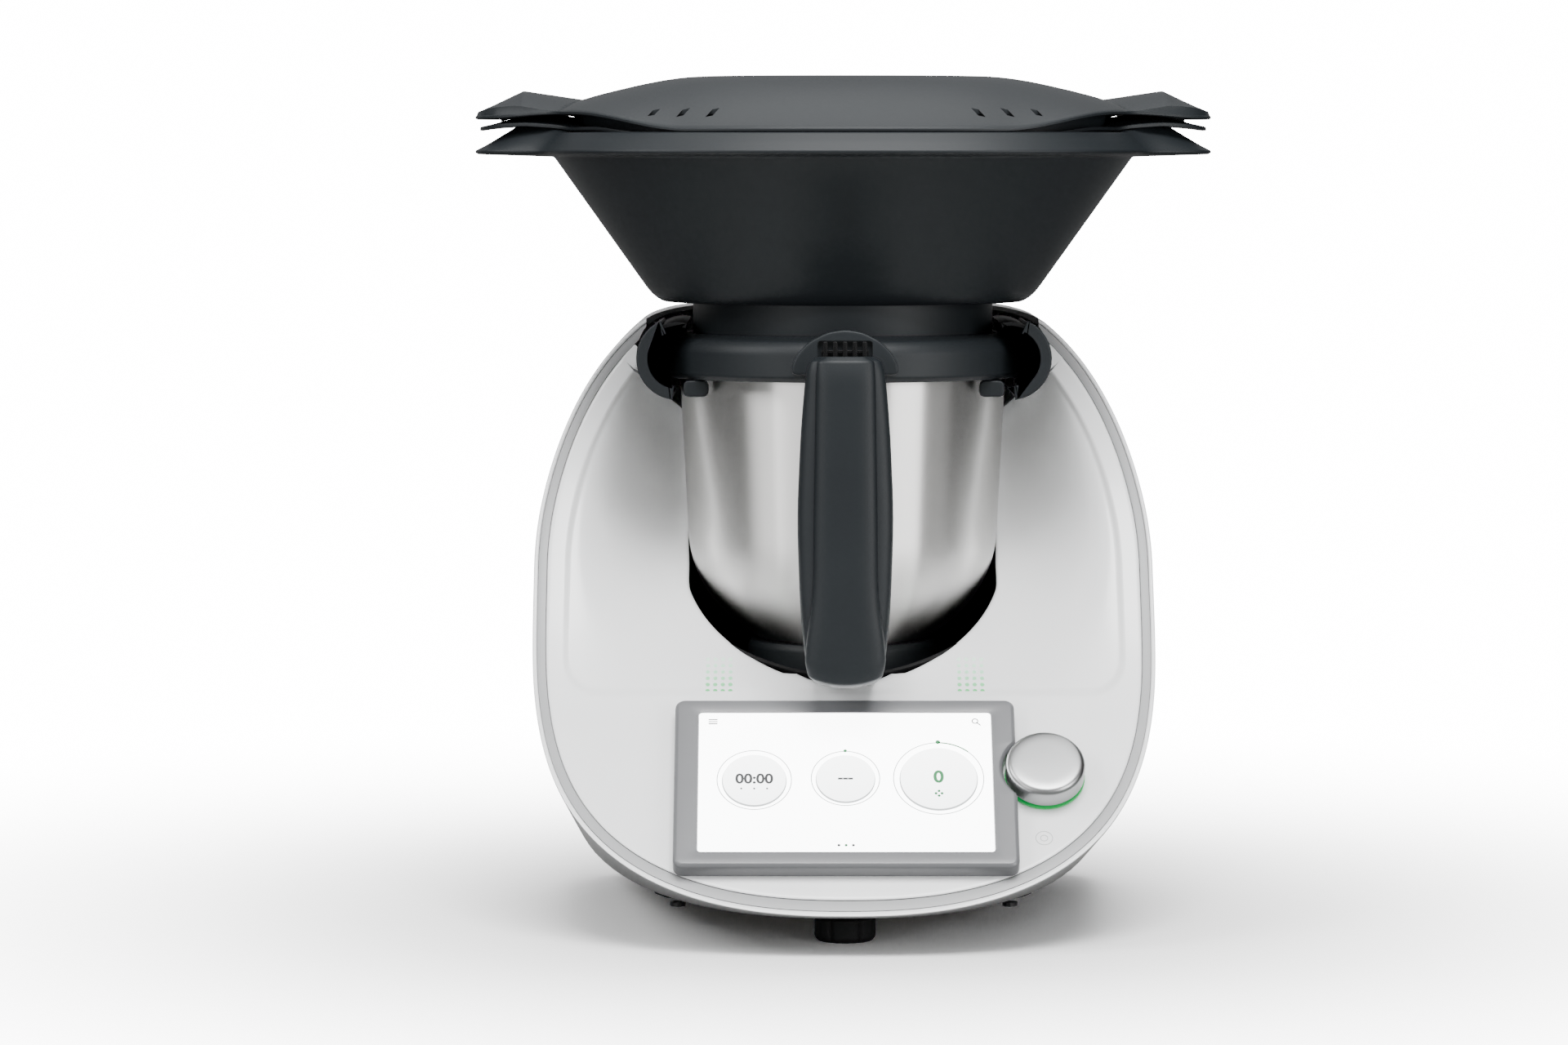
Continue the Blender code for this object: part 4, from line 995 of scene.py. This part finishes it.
def wing_arch(x, v, tip):
    """0 to 1: how far a lower wing is arched, highest 26 mm in from its tip."""
    rise = smooth((np.abs(x) - 118.0) / 34.0) * np.clip((tip - np.abs(x)) / 26.0, 0, 1)
    return rise * np.clip(1 - (v / 50.0) ** 2, 0, 1)


def lid_edge(x):
    """Height of the underside of the steamer lid's edge, rising towards the ends."""
    outward = np.abs(x)
    return SHOULDER_Z + 0.1 + 9.0 * smooth((outward - 80.0) / 62.0) - 2.2 * smooth((outward - 150.0) / 40.0)


def lid_top(x, v):
    """Top of the steamer lid: a flat-topped dome or, where it is higher, an arched wing."""
    ratio = ((np.abs(x) / LID_RIM[0]) ** OVAL + (np.abs(v) / LID_RIM[1]) ** OVAL) ** (1 / OVAL)
    edge = lid_edge(x) + LID_EDGE
    dome = DOME_Z - (DOME_Z - edge) * np.clip((ratio - 0.48) / 0.52, 0, 1) ** 2
    outward = np.clip((WING_TIP - np.abs(x)) / 25.0, 0, 1)
    inward = np.minimum(1 - (168.0 - np.abs(x)) * 0.52 / 42.0, 1)
    lift = np.minimum(outward, inward)
    wing = 419.2 + 12.0 * lift * np.where(lift > 0, 1 - (v / 50.0) ** 2, 1)
    wing = wing - 12.0 * smooth((np.abs(v) - 50.0) / 30.0)
    return np.maximum(dome, wing)


def make_dish():
    """Steaming dish: collar, flat foot, flared wall, a sloping shoulder with a wing at each end,
    and a double wall down to a floor with a steam hole."""
    outer = winged(DISH_RIM, WING_TIP)
    inner = reach(148.2, 125.7)
    rows = oval_rows((76.5, 76.5, 2, 302.6, 0.4), (79, 79, 2, 302.6, 0.4), (79, 79, 2, 320.7, 0.6),
                     (95, 81, OVAL, 320.7, 2.5), (101.2, 86, OVAL, 325, 5.0), (151.9, 129, OVAL, 396.5, 1.0))
    rows += [(level_ring(outer - d, z), 0.5) for d, z in ((1.5, 397.8), (0, 398.6), (0, 399.8))]
    for share in (0.1, 0.2, 0.3, 0.4, 0.5, 0.6, 0.7, 0.85, 1.0):
        distance = outer + (inner - outer) * share
        x, v = plan(distance)
        height = np.interp(share, (0, 0.3, 0.62, 1), (399.8, 404.6, SHOULDER_Z, SHOULDER_Z))
        rows.append((level_ring(distance, height + 8.0 * share ** 0.3 * wing_arch(x, v, WING_TIP)), 2.0))
    rows += oval_rows((148.0, 125.5, OVAL, 407.2, 0.3), (143.5, 121, OVAL, 407.2, 0.5),
                      (144, 121.5, OVAL, 403, 1), (146, 123.5, OVAL, 394, 2), (98.5, 83.2, OVAL, 327.5, 4),
                      (92, 78, OVAL, 323.2, 2), (28, 28, 2, 323.2, 0.4), (28, 28, 2, 320.7, 0.4),
                      (74, 74, 2, 320.7, 0.6))
    grid = eased(*zip(*rows), closed=True, parts=3)
    fit(skin("dish_body", grid, rows_meet=True), "dish", "slate_plastic", "steamer_dish")


def tray_top(x, v):
    """Top of the tray's rim, arched along each wing."""
    return 409.35 + 2.6 * smooth((np.abs(x) - 105.0) / 25.0) + 7.0 * wing_arch(x, v, TRAY_TIP)


def make_tray():
    """Flat tray: shallow basket with slotted floor and a thin rim that ends in two wings."""
    outer = winged(TRAY_RIM, TRAY_TIP, 50.0)
    shares = np.linspace(0, 1, 7)

    def rim_rows(start, shares, below):
        distances = [start + (outer - start) * share for share in shares]
        return [(level_ring(d, tray_top(*plan(d)) - below), 0.4) for d in distances]

    rows = oval_rows((128, 105, OVAL, 374, 0), (131, 108, OVAL, 376, 1), (142.8, 120.3, OVAL, 405, 1))
    rows += rim_rows(reach(142.8, 120.3), shares, 1.85)
    rows += rim_rows(reach(141.0, 118.5), shares[::-1], 0.0)
    rows += oval_rows((141.0, 118.5, OVAL, 405, 1), (129, 106, OVAL, 377, 1), (126, 103, OVAL, 375.8, 0))
    tray = skin("tray_basket", eased(*zip(*rows), parts=2))
    slots = []
    for i, x in enumerate((-80, -40, 0, 40, 80)):
        for j, v in enumerate((-48, 0, 48)):
            y = AXIS_Y + v
            shape = rounded_box(x - 15, x + 15, y - 5, y + 5, 4)
            slots.append(slab("cutter_tray_%d_%d" % (i, j), shape, 365, 385, 0.01))
    carved(tray, *slots)
    fit(tray, "tray", "slate_plastic", "steamer_tray")


def make_steamer_lid():
    """Steamer lid: a thin dome over an oval rim, folded up into a wing at each end, with three
    slanted steam slots at each corner."""
    outer = winged(LID_RIM, WING_TIP)

    def sheet(shares, below):
        return [level_ring(outer * share, lid_top(*plan(outer * share)) - below) for share in shares]

    top = sheet([*np.linspace(0.993, 0.5, 62), *np.linspace(0.48, 0.0, 14)], 0.0)
    under = sheet([*np.linspace(0.0, 0.5, 10), *np.linspace(0.53, 0.96, 22)], LID_SHEET)
    edge = lid_edge(plan(outer)[0])
    rim = [level_ring(outer * share, edge + up) for share, up in
           ((0.975, 0.0), (0.996, 0.0), (1.0, 0.4), (1.0, 1.4), (0.997, LID_EDGE))]
    lid = skin("lid_dome", np.stack(under + rim + top), sharp=32)
    slots = []
    depths = np.linspace(60, 125, 261)
    for sx in (-1, 1):
        for distance in (67, 82, 97):
            v = np.interp(-419.0, -lid_top(distance + 0 * depths, depths), depths)
            for sy in (-1, 1):
                y = AXIS_Y + sy * v
                grid = box_points((sx * distance - 1.5, y - 2.6, 409), (sx * distance + 1.5, y + 2.6, 429))
                grid[..., 0] -= sx * 0.9 * (grid[..., 2] - 419)
                slots.append(skin("cutter_steam_%d_%d_%d" % (sx + 1, distance, sy + 1), grid))
    carved(lid, *slots, sharp=32)
    fit(lid, "steamer_lid", "slate_plastic", "steamer_lid")

    skirt = reach(138.0, 115.5)
    top_z = lid_top(*plan(skirt)) - 1.2
    rows = [level_ring(skirt - d, z) for d, z in ((0, 404.5), (0, top_z), (1.6, top_z), (1.6, 404.5))]
    skirt_skin = skin("lid_inner_skirt", eased(rows, 0.4, closed=True, parts=2), rows_meet=True)
    fit(skirt_skin, "steamer_lid", "slate_plastic")
    for side, sign in (("left", -1), ("right", 1)):
        x = np.concatenate([[134, 140.4], np.linspace(141.4, 180, 24)])
        low = np.where(x < 141, 405.2, tray_top(x, 0.0) + 0.12)
        high = np.maximum(lid_top(x, 0.0) - 1.2, low + 0.4)
        outline = np.concatenate([np.stack([sign * x, low], 1), np.stack([sign * x, high], 1)[::-1]])
        rows = np.stack([upright(lifted(outline, y)) for y in (AXIS_Y - 1, AXIS_Y + 1)])
        fit(skin("lid_wing_rib_" + side, rows), "steamer_lid", "slate_plastic")


# ---------------------------------------------------------------- studio

def make_floor():
    """Floor disc, matt near the machine. The camera sees it pale, fading into the white background;
    reflections and bounced light see it mid grey, a painted shade that darkens what the steel
    mirrors and the light thrown back onto the machine. Its edge stays near, so that the steel
    mirrors the screens beyond it."""
    a = np.linspace(0, 2 * math.pi, 96, endpoint=False)
    rows = [np.stack([r * np.cos(a), r * np.sin(a), 0 * a - 0.2], 1) for r in (0, 300, 600, 900, 1200)]
    grid = np.stack(rows)
    index = np.arange(5 * 96).reshape(5, 96)
    index = np.concatenate([index, index[:, :1]], 1)
    faces = np.stack([index[:-1, :-1], index[1:, :-1], index[1:, 1:], index[:-1, 1:]], -1).reshape(-1, 4)
    mesh = bpy.data.meshes.new("studio_floor")
    mesh.from_pydata((grid.reshape(-1, 3) * MM).tolist(), [], faces.tolist())
    floor = placed("studio_floor", mesh)
    made, tree, shader = blank("studio_floor_pale_to_camera_grey_to_light")
    place = node(tree, "TexCoord")
    far = node(tree, "VectorMath", {"operation": "LENGTH"}, {0: (place, "Object")})
    share = node(tree, "MapRange", {"From Min": 0.12, "From Max": 0.9, "interpolation_type": "SMOOTHSTEP"},
                 {0: (far, "Value")})
    seen = node(tree, "LightPath")
    both = node(tree, "Math", {"operation": "MULTIPLY"}, {0: (share, 0), 1: (seen, "Is Camera Ray")})
    glow = node(tree, "Emission", {"Color": (1, 1, 1, 1), "Strength": BACKDROP})
    mix = node(tree, "MixShader", {}, {0: (both, 0), 1: (shader, 0), 2: (glow, 0)})
    tree.links.new(mix.outputs[0], tree.nodes["Material Output"].inputs["Surface"])
    # painted shade: mid grey #606060 for every ray but the camera's, pale #f6f6f6 for the camera
    tint = blend(tree, linear("#606060"), linear("#f6f6f6"), (seen, "Is Camera Ray"))
    tree.links.new(tint.outputs[2], shader.inputs["Base Color"])
    tune(shader, {"Roughness": 0.8})
    mesh.materials.append(made)


def make_surroundings():
    """White surroundings with a dark upright screen on each side, which the steel mirrors."""
    world = bpy.data.worlds.new("white_studio")
    bpy.context.scene.world = world
    world.use_nodes = True
    tree = world.node_tree
    sky = tree.nodes["Background"]
    place = node(tree, "TexCoord")
    flat = node(tree, "VectorMath", {"operation": "MULTIPLY", 1: (1, 1, 0)}, {0: (place, "Generated")})
    level = node(tree, "VectorMath", {"operation": "NORMALIZE"}, {0: (flat, "Vector")})
    shades = []
    for degrees, start, end in ((-92, 0.86, 0.92), (112, 0.82, 0.90)):
        a = math.radians(degrees)
        facing = node(tree, "VectorMath", {"operation": "DOT_PRODUCT", 1: (math.sin(a), -math.cos(a), 0)},
                      {0: (level, "Vector")})
        shades.append(node(tree, "MapRange", {"From Min": start, "From Max": end,
                                              "interpolation_type": "SMOOTHSTEP"}, {0: (facing, "Value")}))
    both = node(tree, "Math", {"operation": "MAXIMUM"}, {0: (shades[0], 0), 1: (shades[1], 0)})
    tint = blend(tree, (AMBIENT, AMBIENT, AMBIENT, 1), (0.01, 0.01, 0.01, 1), (both, 0))
    seen = node(tree, "LightPath")
    final = node(tree, "Mix", {"data_type": "RGBA", 7: (BACKDROP, BACKDROP, BACKDROP, 1)},
                 {0: (seen, "Is Camera Ray"), 6: (tint, 2)})
    tree.links.new(final.outputs[2], sky.inputs["Color"])
    sky.inputs["Strength"].default_value = 1.0


def aimed(name, data, place, target):
    """Put a lamp or a camera at a place, turned to a point."""
    holder = placed(name, data)
    holder.location = place
    holder.rotation_euler = (Vector(target) - Vector(place)).to_track_quat("-Z", "Y").to_euler()
    return holder


def make_light(name, place, target, size, power):
    """A soft rectangular lamp aimed at a point."""
    lamp = bpy.data.lights.new(name, "AREA")
    lamp.shape = "RECTANGLE"
    lamp.size, lamp.size_y = size
    lamp.energy = power
    aimed(name, lamp, place, target)


def make_studio():
    """Floor, surroundings, soft lamps and the camera in front."""
    make_floor()
    make_surroundings()
    make_light("high_front_softbox", (0.2, -1.3, 2.3), (0, 0, 0.1), (1.4, 1.0), 110)
    make_light("high_left_softbox", (-1.8, -0.9, 1.7), (0, 0, 0.2), (1.0, 1.2), 40)
    make_light("front_left_softbox", (-1.5, -1.9, 0.3), (0, 0, 0.2), (1.0, 1.2), 14)
    make_light("front_right_softbox", (1.6, -1.6, 0.4), (0, 0, 0.2), (1.0, 1.2), 30)
    make_light("overhead_softbox", (0.0, 0.5, 2.2), (0, 0, 0.2), (1.6, 1.2), 25)
    camera = bpy.data.cameras.new("front_camera")
    camera.lens = 114.0
    camera.sensor_width = 36.0
    camera.clip_end = 100.0
    bpy.context.scene.camera = aimed("front_camera", camera, (-0.031, -2.6, 0.398), (-0.031, 0.0, 0.205))


# ---------------------------------------------------------------- assembly

dict.fromkeys(("dial_face", "dial_ring", "dark_print", "green_print"), "screen_glass")
FINISHES = make_finishes()

cutters = make_cutters()
make_body_shell(cutters)
make_front_face(rim_outline(720))
make_bowl_lining(cutters)
make_underside()
make_bowl()
make_bowl_lid()
make_handle()
make_locks()
make_panel()
make_screen_print()
make_knob()
make_status_dots()
make_dish()
make_tray()
make_steamer_lid()

for leftover in [o for o in bpy.data.objects if o.name.startswith("cutter_")]:
    bpy.data.objects.remove(leftover)
for part in frame["record"]["subparts"]:
    carried = frame["nodes"][part["node"]]
    carried.data.materials.clear()
    # the floor screws take a dark finish, painted shade, in place of their steel slot
    finish = "screw_in_painted_shade" if "base_screw" in part["node"] else part["material_slot"]
    carried.data.materials.append(FINISHES[finish])

make_studio()
